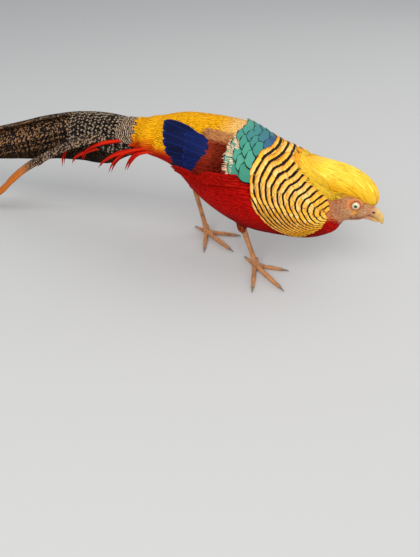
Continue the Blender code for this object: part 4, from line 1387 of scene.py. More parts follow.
@dataclass
class Coat(Plumage):
    """The contour feathers of the body: golden back and rump, scarlet breast, flanks and thighs."""

    seed: int = 23
    step: float = 2.6  # The distance between rows, and between the feathers of a row
    length: float = 17.0  # The length of a feather on the back
    rear: float = -101.0  # Where the coat ends behind, as x
    loose: int = 520  # How many loose feathers lie over each wing's edge, and at each side of the rump
    axis: float = 125.0  # Height of the line that the flanks' angles turn about
    thigh_length: float = 6.0  # The length of a feather on the thigh
    buried: float = 2.0  # How far inside the body one's root may lie

    def body(self) -> Pieces:
        """Rows of hair-like feathers from the breast to the tail."""
        plumes = Plumes("body_coat", COAT_VANE, SLEEK, "scarlet_feather", self.skin)
        form = self.skin.torso
        shares = np.linspace(0, 1, 400)
        spine = form.spine(shares)[0]
        gone = np.concatenate([[0], np.cumsum(np.hypot(np.diff(spine[:, 0]), np.diff(spine[:, 1])))])
        rows = int(gone[-1] / self.step)
        for row in range(1, rows):
            place = float(np.interp(row * self.step, gone, shares))
            wide = float(spline(form.rows, place)[2])
            count = max(8, int(2 * math.pi * wide / self.step))
            for k in range(count):
                turn = 2 * math.pi * (k + 0.5 * (row % 2) + self.draw(-0.3, 0.3)) / count
                self._contour(plumes, form.at(place + self.draw(-0.4, 0.4) / rows, turn))
        return plumes.make(4)

    def _covered(self, place: Array) -> bool:
        """Whether ruff, mantle, tail, chin or head lie over a place."""
        x, _, z = place
        turn, share = (float(v[0]) for v in fan_share(place[None]))
        if share < 1.0 and over_throat(x, z) > 0 and x < 104:
            return True
        if turn > 27 and share < 1.2:
            return True
        if x < self.rear - 12 * ramp(140, 156, z) - 6 * ramp(136, 120, z):
            return True
        return x > 117 or (z > 88 and x > 98)

    def _contour(self, plumes: Plumes, root: Array) -> None:
        """Adds one contour feather unless something else covers the place.

        Args:
            plumes: Where it is added.
            root: Its place near the skin.
        """
        place, _ = self.skin.nearest(root)
        if self._covered(place):
            return
        x, _, z = place
        shade = plumage_colour(place[None])[0] * self.draw(0.97, 1.02)
        flank = float(ramp(60, -40, x) * ramp(140, 110, z))
        length = self.length * (0.85 + 0.4 * flank) * self.draw(0.85, 1.15) * (0.6 if x > 70 else 1.0)
        way = (-1, 0, self.draw(-0.05, 0.03) - 0.1 * flank)
        loose = ramp(-84, -100, x) * np.array([0.0, 0.8, 1.6, 2.3])
        laid = self.skin.follow(place, way, length, np.array([0.2, 0.4, 0.55, 0.65]) + loose)
        plumes.add(laid, self.draw(1.3, 2.0), np.clip(shade, 0, 1), 0.0, place)

    def flanks(self) -> Pieces:
        """Longer scarlet feathers that lap over the wing's lower edge, and the loose edge of the rump."""
        plumes = Plumes("flank_coat", FLANK_VANE, HAIR, "scarlet_feather", self.skin)
        for _, side in SIDES:
            for _ in range(self.loose):
                x = self.draw(-48, 14)
                turn = math.radians(self.draw(85, 97) - 0.05 * (x + 20))
                spot = self.skin.around(x, self.axis, turn, side)
                shade = self.vary(0.6, SCARLET, FLANK_RED) * self.draw(0.75, 1.0)
                way = (-1, 0, self.draw(-0.08, 0.08))
                laid = self.skin.follow(spot, way, self.draw(15, 24), (0.3, 1.4, 2.7, 3.6, 4.0))
                plumes.add(laid, self.draw(0.8, 1.3), shade, self.draw(-0.1, 0.1))
            for _ in range(self.loose):
                turn = self.draw(0.95, math.pi)
                root = self.skin.torso.at(self.draw(0.13, 0.22), side * turn)
                shade = self.vary(ramp(1.0, 1.5, turn), plumage_colour(root[None])[0], RUMP_RED)
                long = self.draw(11, 17) + 8 * float(ramp(1.2, 2.0, turn))
                way = (-1, 0, -0.15 - 0.2 * float(ramp(1.0, 2.0, turn)))
                laid = self.skin.follow(root, way, long, (0.4, 1.5, 2.3, 2.8))
                plumes.add(laid, self.draw(0.7, 1.2), shade, self.draw(-0.1, 0.1))
        return plumes.make(9)

    def thighs(self) -> Pieces:
        """Short soft feathers that run down each thigh and end round the shank."""
        plumes = Plumes("thigh_coat", THIGH_VANE, HAIR, "scarlet_feather", self.skin)
        for name, _ in SIDES:
            rings = self.skin.thigh(name)
            for i in range(3, len(rings) - 1):
                for k in np.repeat(np.arange(self.skin.ring), 2):
                    along, across = self.chance.random(2)
                    root = rings[i][k] + (rings[i + 1][k] - rings[i][k]) * along
                    root = root + (rings[i][(k + 1) % self.skin.ring] - rings[i][k]) * across
                    if np.linalg.norm(self.skin.nearest(root)[0] - root) > self.buried:
                        continue
                    way = rings[-1].mean(0) - rings[i].mean(0)
                    # Painted shade: darker red at the top of the thigh under the belly, turning to brown towards the
                    # shank
                    shade = mix(ramp(84, 60, root[2]), SHADED_UNDERSIDE_RED, SHANK_BROWN)
                    length = self.thigh_length * self.draw(0.8, 1.2)
                    laid = self.skin.follow(root, way, length, (0.0, 0.4, 0.7, 0.9))
                    plumes.add(laid, 1.0, shade * self.draw(0.7, 1.3))
        return plumes.make(5)


@dataclass
class Hood(Plumage):
    """The silky crest and the short feathers of the face."""

    seed: int = 37
    rear_tip: Row = (61.0, 0.0, 138.0)  # Where the crest's strands meet behind the nape
    strands: int = 2600  # How many strands are tried over the crest
    stray: int = 820  # How many are tried over the ruff on each side
    bristles: int = 4600  # How many feathers are tried over the face

    def _gold(self, low: float, front: float) -> Array:
        """A crest strand's colour: yellow, and orange along the low edge and over the forehead."""
        shade = mix(self.draw(0.1, 1.0) * (1 - low), YELLOW, LEMON)
        return mix(max(low * 0.4, front * 0.7), shade, CREST_ORANGE)

    def crest(self) -> Pieces:
        """Long silky plumes that lie back over the crown and nape."""
        plumes = Plumes("crest_plumes", CREST_VANE, SILK, "golden_feather", self.skin)
        form = self.skin.crest
        for _ in range(self.strands):
            start = self.chance.random() ** 1.05 * 0.86
            turn = self.draw(-2.0, 2.0)
            spine, along, _ = form.spine(start)
            root = form.at(start, turn)
            if spine[0] > 100 and root[2] < height_at(CREST_EDGE, root[0]) - 0.5:
                continue
            left = self.rear_tip - root
            late = float(ramp(0.3, 0.7, start))
            way = unit(along * (1.0 - 0.65 * late) + unit(left) * 0.65 * late)
            length = min(self.draw(18, 30), float(np.linalg.norm(left)) + 2.0)
            base = 0.2 + 1.2 * float(ramp(0.45, 0.8, start))
            rise = self.draw(0.4, 1.0)
            laid = self.skin.follow(root, way, length, base + np.array([0, 0.6, 1.0, 1.1, 1.2]) * rise)
            shade = self._gold(float(ramp(1.0, 1.9, abs(turn))), float(ramp(0.14, 0.0, start)))
            tint = mix(ramp(92, 64, laid[0][:, 0]) * 0.8, shade, CREST_TAIL)
            tint = np.clip(tint * self.draw(0.94, 1.04), 0, 1)
            plumes.add(laid, self.draw(0.7, 1.3), tint, self.draw(-0.1, 0.1), laid[0][0])
        made = plumes.make(6)
        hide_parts("crest")
        return made

    def veil(self) -> Pieces:
        """Fine strands of the crest's edge that stray over the ruff."""
        plumes = Plumes("crest_veil", VEIL_VANE, SILK, "golden_feather", self.skin)
        for _, side in SIDES:
            for _ in range(self.stray):
                x = self.draw(66, 112)
                spot = self.skin.cast(x, float(height_at(CREST_EDGE, x)) + self.draw(-3, 7), side)
                if spot is None:
                    continue
                left = self.rear_tip - spot
                way = unit(left) + np.array([0.0, 0.0, self.draw(-0.45, 0.1)])
                length = min(self.draw(10, 26), float(np.linalg.norm(left)))
                laid = self.skin.follow(spot, way, length, (0.8, 2.0, 2.7, 3.0, 3.1))
                shade = self._gold(0.3, 0.0) * self.draw(0.94, 1.04)
                plumes.add(laid, self.draw(0.25, 0.6), np.clip(shade, 0, 1), 0.0, spot)
        return plumes.make(10)

    def face(self) -> Pieces:
        """Short rusty feathers over the cheek, throat and chin."""
        plumes = Plumes("face_coat", FACE_VANE, FACE, "face", self.skin)
        form = Form(HEAD, -0.7)
        for _ in range(self.bristles):
            share, turn = self.draw(0.03, 0.86), self.draw(0.75, 2 * math.pi - 0.75)
            place, _ = self.skin.nearest(form.at(share, turn))
            x, _, z = place
            if z > float(height_at(CREST_EDGE, x)) + 1.0:
                continue
            if math.hypot((x - EYE[0]) / 1.25, z - EYE[2]) < 7.2 or math.hypot(x - WATTLE[0], z - WATTLE[1]) < 2.6:
                continue
            shade = mix(self.chance.random() ** 2 * 0.7, plumage_colour(place[None])[0], FACE_FLECK)
            laid = self.skin.follow(place, (-1.0, 0.0, -0.25), self.draw(2.6, 4.4), (0.1, 0.4, 0.6))
            plumes.add(laid, self.draw(0.4, 0.7), shade * self.draw(0.7, 1.05), 0.0, place)
        return plumes.make(7)


@dataclass
class Wings(Plumage):
    """Both folded wings: maroon scapulars, blue tertials and the dark edge of the flight feathers.

    A feather's row is x and the angle from the top where it starts, the same where it ends, its half
    width and its height.
    """

    seed: int = 41
    axis: float = 125.0  # Height of the line that the angles turn about
    top: float = 26.0  # The angle of the right wing's upper edge, in degrees
    low: float = 92.0  # The angle of both wings' lower edge
    left_top: float = 54.0  # The angle of the left wing's upper edge, which lies lower
    # The long blue feathers
    tertials: tuple[Row, ...] = (
        (-30, 84, -58, 89, 6.5, 1.4), (-28, 78, -65, 77, 7.5, 1.8), (-28, 70, -72, 66, 8, 2.1),
        (-29, 62, -75, 55, 8.5, 2.4), (-30, 56, -77, 44, 8.5, 2.8), (-32, 51, -79, 33, 8.5, 3.1),
        (-37, 46, -80, 26, 6, 3.5),
    )
    # The short blue ones over their roots
    short: tuple[Row, ...] = (
        (-28, 80, -48, 79, 6, 3.0), (-26, 73, -50, 70, 6.5, 3.2), (-25, 66, -50, 61, 6.5, 3.4),
        (-25, 58, -50, 52, 6.5, 3.6), (-27, 51, -52, 44, 6, 3.8),
    )
    # The edge of the flight feathers below them
    flight: tuple[Row, ...] = ((-34, 88, -66, 86, 3.5, 1.2), (-36, 92, -62, 94, 3, 1.0))
    tufts: int = 1100  # How many scapulars each wing has

    def _root(self, x: float, turn: float, side: int) -> Array:
        """The place on the skin at x and an angle of the right wing, moved down on the left side."""
        if side > 0:
            turn = self.left_top + (turn - self.top) * (self.low - self.left_top) / (self.low - self.top)
        return self.skin.around(x, self.axis, math.radians(turn), side)

    def _between(self, sizes: Row, side: int, rise: Sequence[float]) -> Laid:
        """A shaft from one place of the wing to another.

        Args:
            sizes: The feather's row.
            side: Which side of the bird.
            rise: What is added to its height, at even steps.

        Returns:
            The places, the normals and the directions.
        """
        x, turn, end_x, end_turn, _, base = sizes
        start, end = self._root(x, turn, side), self._root(end_x, end_turn, side)
        length = float(np.linalg.norm(end - start)) * 1.03
        return self.skin.follow(start, end - start, length, (base + np.array(rise)) * (0.7 if side > 0 else 1.0))

    def build(self) -> Pieces:
        """Builds the wings of both sides."""
        made: Pieces = []
        for name, side in SIDES:
            made += self._tertials(name, side) + self._scapulars(name, side)
        return made

    def _tertials(self, name: str, side: int) -> Pieces:
        """The blue tertials, and the flight feathers that show below them.

        Args:
            name: The side's name.
            side: Which side of the bird.

        Returns:
            The pieces.
        """
        blue = Plumes(f"tertials_{name}", TERTIAL_VANE, TERTIAL, "wing_feather", self.skin)
        for k, sizes in enumerate(self.tertials + self.short):
            short = k >= len(self.tertials)
            laid = self._between(sizes, side, (0, 0.7, 1.2, 1.5, 1.6, 1.6))
            lit = self.draw(0.2, 1.0) if short else self.draw(0, 0.5)
            tint = mix(np.linspace(0, 1, 6) ** 2 * (0.3 if short else 0.6), mix(lit, NAVY, ROYAL), BLUE_BLACK)
            blue.add(laid, sizes[4] * (0.8 if side > 0 else 1.0), tint, 0.05 * side)
        flight = Plumes(f"flight_{name}", FLIGHT_VANE, FLIGHT, "wing_feather", self.skin)
        for sizes in self.flight:
            flight.add(self._between(sizes, side, (0, 0.7, 1.3, 1.8, 2.2)), sizes[4], SOOT)
        made = blue.make(8 + side) + flight.make(12 + side)
        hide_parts(f"wing_{name}")
        return made

    def _scapulars(self, name: str, side: int) -> Pieces:
        """The maroon scapulars, soft and loose, which turn to tan tufts at their top.

        Args:
            name: The side's name.
            side: Which side of the bird.

        Returns:
            The pieces.
        """
        red = Plumes(f"scapulars_{name}", SCAPULAR_VANE, SCAPULAR, "wing_feather", self.skin)
        for k in range(self.tufts):
            x = 4 - 30 * ((k * 0.618) % 1.0)
            turn = self.draw(34, 87)
            tan = float(ramp(50, 38, turn + self.draw(-4, 4)))
            tint = mix(ramp(62, 80, turn + self.draw(-4, 4)), MAROON, DARK_RED)
            tint = mix(self.chance.random() * 0.25 + 0.3 * ramp(-8, 2, x), tint, SHOULDER_RED)
            tint = mix(tan, tint, self.vary(1.0, TUFT, TUFT_DARK))
            way = (-1, 0, self.draw(-0.06, 0.12) + 0.5 * tan)
            length = self.draw(12, 17) - 5 * tan
            if x - length < -41:
                length = max(x + 41, 7)
            base = 0.8 + 2.5 * float(ramp(2, -24, x))
            heights = (base + np.array([0, 0.4, 0.7, 0.9]) * (1 + 0.8 * tan)) * (0.6 if side > 0 else 1.0)
            laid = self.skin.follow(self._root(x, turn, side), way, length, heights)
            red.add(laid, self.draw(1.0, 1.6) - 0.4 * tan, tint * 0.88, self.draw(-0.08, 0.08))
        return red.make(16 + side)


@dataclass
class Tail(Plumage):
    """The long vaulted tail with its coverts and scarlet spears."""

    seed: int = 53
    root: float = -140.0  # Where the long feathers start, as x
    inset: float = 24.0  # How much further forward the side ones start
    # Each pair's length, distance from the middle, roll in degrees, half width and depth
    long: tuple[Row, ...] = (
        (688, 9, 33, 18, 5.5), (590, 12, 42, 16, 11), (500, 15, 50, 15, 18), (440, 16, 55, 13.5, 24),
        (390, 17, 60, 12.5, 30), (340, 17, 64, 12, 36), (290, 18, 68, 12, 41), (240, 19, 72, 11.5, 45),
    )
    darken: Row = (1.0, 0.85, 0.7, 0.45, 0.34, 0.26, 0.2, 0.16)  # How dark each pair is against the middle one
    # The path of the one feather that hangs to the right
    splayed: tuple[Row, ...] = (
        (-146, 12, 136), (-172, 29, 135), (-197, 34, 127), (-222, 35, 114.5), (-247, 35, 101),
        (-275, 35, 84), (-305, 35, 62), (-333, 35, 39), (-374, 35, 16),
    )
    # The paths of the scarlet spears
    spears: tuple[tuple[Row, ...], ...] = (
        ((-205, 20, 118), (-235, 30, 104), (-258, 31, 86)),
        ((-160, 12, 134), (-195, 27, 127), (-213, 30, 111), (-220, 30, 93)),
        ((-135, 14, 130), (-170, 28, 123), (-197, 30, 110), (-205, 30, 99)),
        ((-122, 16, 136), (-160, 28, 131), (-182, 30, 119), (-189, 30, 106)),
        ((-100, 28, 131), (-135, 31, 124), (-158, 31, 111), (-168, 30, 100)),
        ((-92, 30, 137), (-125, 31, 128), (-145, 31, 111), (-154, 30, 96)),
        ((-90, 30, 133), (-111, 32, 128), (-123, 32, 117), (-131, 31, 103)),
    )
    rump_tiers: int = 4  # Tiers of coverts over the tail's root
    covert_tiers: int = 5  # Tiers of coverts further along it

    @staticmethod
    def _laid(line: Array, roll: float, side: int) -> Laid:
        """Turns a line into places, normals and directions, rolled to its side by degrees."""
        angle = math.radians(roll)
        ways = unit(np.gradient(line, axis=0))
        normal = np.array([0, side * math.sin(angle), math.cos(angle)])
        return line, unit(normal - ways * (ways @ normal)[:, None]), ways

    def build(self) -> Pieces:
        """Builds the tail."""
        made = self._long("tail_feathers", self.long[:3], TAIL, 0)
        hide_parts("tail")
        made += self._long("tail_sides", self.long[3:], UNDERTAIL, 3)
        splayed = Plumes("splayed_feather", SPLAYED_VANE, FLAME, "tail_feather")
        share = np.linspace(0, 1, 14)
        line = spline(self.splayed, share) * np.array([1, -1, 1])
        splayed.add(self._laid(line, 38, -1), 6.4, mix(ramp(0.5, 0.68, share), MOTTLED, FLAME_ORANGE))
        return made + splayed.make(31) + self._spears() + self._coverts()

    def _long(self, name: str, sizes: Sequence[Row], finish: FeatherFinish, first: int) -> Pieces:
        """Pairs of the long feathers, the outer ones darker.

        Args:
            name: The piece's name.
            sizes: The pairs' rows.
            finish: Their looks.
            first: The number of the first pair, counted from the middle.

        Returns:
            The pieces.
        """
        long = Plumes(name, TAIL_VANE, finish, "tail_feather")
        share = np.linspace(0, 1, 14)
        ahead = self.inset if first else 0.0
        for _, side in SIDES:
            for k, (length, offset, roll, half, depth) in reversed(list(enumerate(sizes))):
                x = self.root + ahead - (length + ahead) * share
                y = side * offset * (1 - 0.75 * share) * np.minimum(1, 0.45 + 3 * share)
                z = ridge_height(x) - depth * (1 - 0.45 * share) * (0.55 + 0.45 * ramp(0, 0.22, share))
                tint = mix(ramp(0, 0.25, share), BUFF, CINNAMON)
                long.add(self._laid(np.stack([x, y, z], 1), roll, side), half, tint * self.darken[first + k])
        return long.make(30 + first)

    def _spears(self) -> Pieces:
        """The narrow scarlet coverts that hang below the tail's root."""
        spears = Plumes("scarlet_spears", SPEAR_VANE, HAIR, "scarlet_feather")
        share = np.linspace(0, 1, 10)
        for _, side in SIDES:
            for path in self.spears:
                for k in range(2):
                    nudge = np.array([3.0, -1.4 * side, 1.5]) * k + self.chance.uniform(-0.8, 0.8, 3)
                    line = spline(path, share) * np.array([1, side, 1]) + nudge
                    tint = mix(share**2 * 0.7, self.vary(0.6, SCARLET, SPEAR_RED), SPEAR_TIP)
                    half = self.draw(1.8, 2.5)
                    spears.add(self._laid(line, 50 + self.draw(-8, 8), side), half, tint)
        return spears.make(32)

    def _coverts(self) -> Pieces:
        """The coverts over the tail's root: waved ones on the skin first, then spotted ones on the tail."""
        near = Plumes("rump_coverts", RUMP_VANE, COVERT, "tail_feather", self.skin)
        for tier in range(self.rump_tiers):
            for _, side in SIDES:
                for k in range(9):
                    turn = math.radians((k + 0.5 * (tier % 2) + 0.25) * 13.5)
                    x = -110.0 + 11 * float(ramp(0.5, 1.5, turn)) - 8 * tier
                    spot = self.skin.around(x, 132.0, turn, side)
                    if spot is None:
                        continue
                    low = math.sin(turn)
                    laid = self.skin.follow(spot, (-1, 0, -0.15 - 0.25 * low), 26 + 8 * low, 0.2 + 0.4 * np.arange(5))
                    near.add(laid, 6.0, self.vary(0.6, COVERT_PALE, COVERT_BROWN))
        far = Plumes("tail_coverts", COVERT_VANE, TAIL, "tail_feather")
        share = np.linspace(0, 1, 7)
        for tier in range(self.covert_tiers):
            x = -120.0 - 11 * tier - 46 * share
            for _, side in SIDES:
                for k in range(7):
                    across = (k + 0.5 * (tier % 2) + 0.25) / 6
                    y = side * (2 + 22 * across) * (1 - 0.1 * share)
                    z = ridge_height(x) + 1.2 - 21 * across**2 + 1.2 * share - 0.4 * tier * (1 - share)
                    tint = self.vary(0.5, SPOT_PALE, SPOT_BROWN) * (1 - 0.35 * across)
                    far.add(self._laid(np.stack([x, y, z], 1), 6 + 58 * across, side), 6.5, tint)
        return near.make(33) + far.make(34)


@dataclass(frozen=True)
class HornFinish:
    """Horn of the bill and claws."""

    name: str  # The material's name
    root: Colour  # Its colour at its root
    tip: Colour  # Its colour at its tip
    start: float = -1000.0  # Where the root's colour ends, as x in mm
    end: float = 1000.0  # Where the tip's colour starts, as x in mm
    roughness: float = 0.35  # Its roughness

    def dress(self) -> bpy.types.Material:
        """Builds the material."""
        s = Shader(self.name, self.roughness, 0.4)
        coarse = s.noise(s.place(), 240, 3)
        fine = s.noise(s.place(), 900, 2)
        parts = s.node("ShaderNodeSeparateXYZ", None, {0: s.place()})
        start, end = (x * MM + float(SHIFT[0]) for x in (self.start, self.end))
        shade = s.blend((s.number(parts, 0) + (coarse - 0.5) * 0.006).step(start, end), self.root, self.tip)
        s.colour(s.blend(coarse.step(0.4, 0.8) * 0.35, shade, tuple(c * 0.5 for c in self.root)))
        s.rough(fine * 0.2 + (self.roughness - 0.08))
        s.bump(coarse * 0.6 + fine * 0.4, 0.0003, 0.5)
        return s.material


@dataclass(frozen=True)
class LegFinish:
    """Scaly skin of the shanks and toes."""

    name: str  # The material's name
    scale: Colour  # The scutes' colour
    seam: Colour  # The colour between them

    def dress(self) -> bpy.types.Material:
        """Builds the material."""
        s = Shader(self.name, 0.45, 0.4)
        cells = s.node("ShaderNodeTexVoronoi", {"feature": "DISTANCE_TO_EDGE"}, {"Vector": s.place(), "Scale": 620.0})
        crack = 1 - s.number(cells, "Distance").step(0.02, 0.12)
        patch = s.noise(s.place(), 130, 3)
        shade = s.blend(patch.step(0.35, 0.7), self.scale, tuple(c * 0.65 for c in self.scale))
        s.colour(s.blend(crack * 0.5, shade, self.seam))
        s.bump(1 - crack, 0.00025, 0.6)
        return s.material


@dataclass
class Legs:
    """Bare shanks and toes with their scutes, laid along each bone by a node tree."""

    # Each toe's name, splay from the foot's heading in degrees, length and radius
    toes: tuple[tuple[str, float, float, float], ...] = (
        ("outer", -42, 38, 2.5), ("middle", 0, 45, 2.8), ("inner", 44, 33, 2.5), ("hind", 176, 16, 2.2),
    )
    # Along a toe: the share of its length, and its height and radius as shares of its radius
    joints: tuple[Row, ...] = (
        (0.0, 1.9, 1.1), (0.2, 1.53, 1.05), (0.42, 0.97, 0.92), (0.62, 0.94, 0.98), (0.82, 0.76, 0.8),
        (1.0, 0.68, 0.74),
    )
    proud: float = 1.07  # How much wider than its limb a scute is
    facets: int = 18  # Sides of a limb
    readings: int = 28  # Places read along a limb
    skin: bpy.types.Material = field(init=False)  # The finish of the shanks and toes
    claw: bpy.types.Material = field(init=False)  # The finish of the claws
    tree: bpy.types.NodeTree = field(init=False)  # The node tree that makes a limb

    def __post_init__(self) -> None:
        """Builds the finishes and the node tree."""
        self.skin = LegFinish("scaly leg", (0.66, 0.29, 0.11), (0.22, 0.08, 0.03)).dress()
        self.claw = HornFinish("claw horn", (0.3, 0.22, 0.16), (0.16, 0.12, 0.09)).dress()
        self.tree = self._scute_tree()

    def _scute_tree(self) -> bpy.types.NodeTree:
        """A tree that makes a limb along a path, with a scute over each step.

        Returns:
            The tree.
        """
        tree = bpy.data.node_groups.new("scuted limb", "GeometryNodeTree")
        inputs = {"Geometry": "Geometry", "Scutes": "Int", "Scute Depth": "Float", "Material": "Material"}
        for name, kind in inputs.items():
            tree.interface.new_socket(name, in_out="INPUT", socket_type=f"NodeSocket{kind}")
        tree.interface.new_socket("Geometry", in_out="OUTPUT", socket_type="NodeSocketGeometry")
        entry = add_node(tree, "NodeGroupInput").outputs
        named = add_node(tree, "GeometryNodeInputNamedAttribute", {"data_type": "FLOAT"}, {"Name": "width"})
        width = named.outputs["Attribute"]
        curve = add_node(tree, "GeometryNodeMeshToCurve", None, {0: entry["Geometry"]})
        bone = add_node(tree, "GeometryNodeSetCurveRadius", None, {"Curve": curve.outputs[0], "Radius": width})
        shape = {"Resolution": self.facets, "Radius": 1.0}
        circle = add_node(tree, "GeometryNodeCurvePrimitiveCircle", {"mode": "RADIUS"}, shape)
        sweep = {"Curve": bone.outputs[0], "Profile Curve": circle.outputs[0], "Fill Caps": True}
        body = add_node(tree, "GeometryNodeCurveToMesh", None, sweep)
        if "Scale" in body.inputs:
            tree.links.new(width, body.inputs["Scale"])
        steps = {"Curve": bone.outputs[0], "Count": entry["Scutes"]}
        points = add_node(tree, "GeometryNodeCurveToPoints", {"mode": "COUNT"}, steps).outputs
        ring = {"Vertices": self.facets, "Radius": 1.0, "Depth": entry["Scute Depth"]}
        scute = add_node(tree, "GeometryNodeMeshCylinder", None, ring)
        grown = add_node(tree, "ShaderNodeMath", {"operation": "MULTIPLY"}, {0: width, 1: self.proud}).outputs[0]
        size = add_node(tree, "ShaderNodeCombineXYZ", None, {0: grown, 1: grown, 2: 1.0})
        laid = {"Points": points["Points"], "Instance": scute.outputs["Mesh"], "Rotation": points["Rotation"]}
        copies = add_node(tree, "GeometryNodeInstanceOnPoints", None, {**laid, "Scale": size.outputs[0]})
        both = add_node(tree, "GeometryNodeJoinGeometry", None, {0: body.outputs[0]})
        tree.links.new(copies.outputs[0], both.inputs[0])
        real = add_node(tree, "GeometryNodeRealizeInstances", None, {0: both.outputs[0]})
        dress = add_node(tree, "GeometryNodeSetMaterial", None, {0: real.outputs[0], "Material": entry["Material"]})
        add_node(tree, "NodeGroupOutput", None, {0: dress.outputs[0]})
        return tree

    def _limb(self, name: str, path: Sequence[Array], radii: Row, scutes: int, depth: float) -> Piece:
        """A scuted limb along a path.

        Args:
            name: The piece's name.
            path: Its points in mm.
            radii: Its radius at each.
            scutes: How many scutes it has.
            depth: How long each scute is, in mm.

        Returns:
            The piece.
        """
        rows = spline([(*p, r) for p, r in zip(path, radii)], np.linspace(0, 1, self.readings))
        mesh = bpy.data.meshes.new(name)
        mesh.from_pydata((rows[:, :3] * MM + SHIFT).tolist(), [(i, i + 1) for i in range(self.readings - 1)], [])
        width = mesh.attributes.new("width", "FLOAT", "POINT")
        width.data.foreach_set("value", (rows[:, 3] * MM).astype(np.float32))
        piece = link_mesh(name, mesh)
        modifier = piece.modifiers.new("scutes", "NODES")
        modifier.node_group = self.tree
        sockets = {s.name: s.identifier for s in self.tree.interface.items_tree if s.in_out == "INPUT"}
        modifier[sockets["Scutes"]] = scutes
        modifier[sockets["Scute Depth"]] = depth * MM
        modifier[sockets["Material"]] = self.skin
        bake_modifiers(piece)
        piece.data.polygons.foreach_set("use_smooth", [True] * len(piece.data.polygons))
        return piece

    def _toe(self, name: str, side: int, toe: str, splay: float, length: float, radius: float) -> Piece:
        """One toe, from the foot's middle to its claw.

        Args:
            name: The side's name.
            side: Which side of the bird.
            toe: The toe's name.
            splay: Its angle from the foot's heading, in degrees.
            length: Its length.
            radius: Its radius.

        Returns:
            The piece.
        """
        turn = math.radians(FOOT_HEADING[name] - side * splay)
        way = np.array([math.cos(turn), math.sin(turn), 0])
        start = np.array([*FEET[name], 0.0])
        line = np.array([start + way * length * s + np.array([0, 0, z * radius]) for s, z, _ in self.joints])
        radii = tuple(radius * r for _, _, r in self.joints)
        line[:, 2] = np.maximum(line[:, 2], np.array([r for _, _, r in self.joints]) * radius * self.proud)
        return self._limb(f"toe_{name}_{toe}", line, radii, max(5, int(length / 2.4)), 1.5)

    def build(self) -> Pieces:
        """Builds both legs."""
        made: Pieces = []
        for name, side in SIDES:
            x, y = FEET[name]
            end = THIGH_END[name]
            bone = [shank_at(name, z) for z in (end + 3, end - 8, 36, 26, 16, 9)]
            shank = self._limb(f"shank_{name}_scutes", bone, (3.4, 3.0, 2.7, 2.7, 3.1, 3.8), 19, 2.0)
            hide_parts(f"shank_{name}")
            hub = np.array([(x, y, ANKLE + 5), (x, y, ANKLE), (x + 1, y, 4.2), (x + 1, y, 1.2)])
            pad = self._limb(f"foot_{name}_pad", hub, (3.5, 4.3, 4.6, 3.8), 2, 0.5)
            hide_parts(f"foot_{name}")
            limbs = [shank, pad] + [self._toe(name, side, *toe) for toe in self.toes]
            for limb in limbs:
                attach(limb, "root")
            for toe, *_ in self.toes:
                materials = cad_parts[f"claw_{name}_{toe}"].data.materials
                materials.clear()
                materials.append(self.claw)
            made += limbs
        return made


@dataclass
class Bill:
    """The bill with its nostrils."""

    turned: Row = (143, 153)  # Between which places the root's colour gives way to the tip's, as x
    nostril: Row = (146.0, 4.75, 92.6)  # The right nostril's place, its y as a distance from the middle
    hole: float = 1.8  # Its radius
    squash: Row = (1.35, 0.5, 0.7)  # How much of the radius each axis has

    def build(self) -> Pieces:
        """Builds both halves of the bill and the nostrils."""
        horn = HornFinish("bill horn", (0.56, 0.26, 0.14), (0.78, 0.48, 0.13), *self.turned, 0.34).dress()
        made = []
        for name, rows in (("upper", UPPER_BILL), ("lower", LOWER_BILL)):
            piece = make_object(f"bill_{name}_horn", *Form(rows).mesh(30, 32))
            piece.data.materials.append(horn)
            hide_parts(f"bill_{name}")
            made.append(piece)
        dark = HornFinish("nostril", (0.05, 0.018, 0.012), (0.03, 0.012, 0.008), roughness=0.6).dress()
        x, y, z = self.nostril
        for name, side in SIDES:
            hole = make_object(f"nostril_{name}", *ball((x, side * y, z), self.hole, self.squash, 10, 16))
            hole.data.materials.append(dark)
            made.append(hole)
        for piece in made:
            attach(piece, "root")
        return made


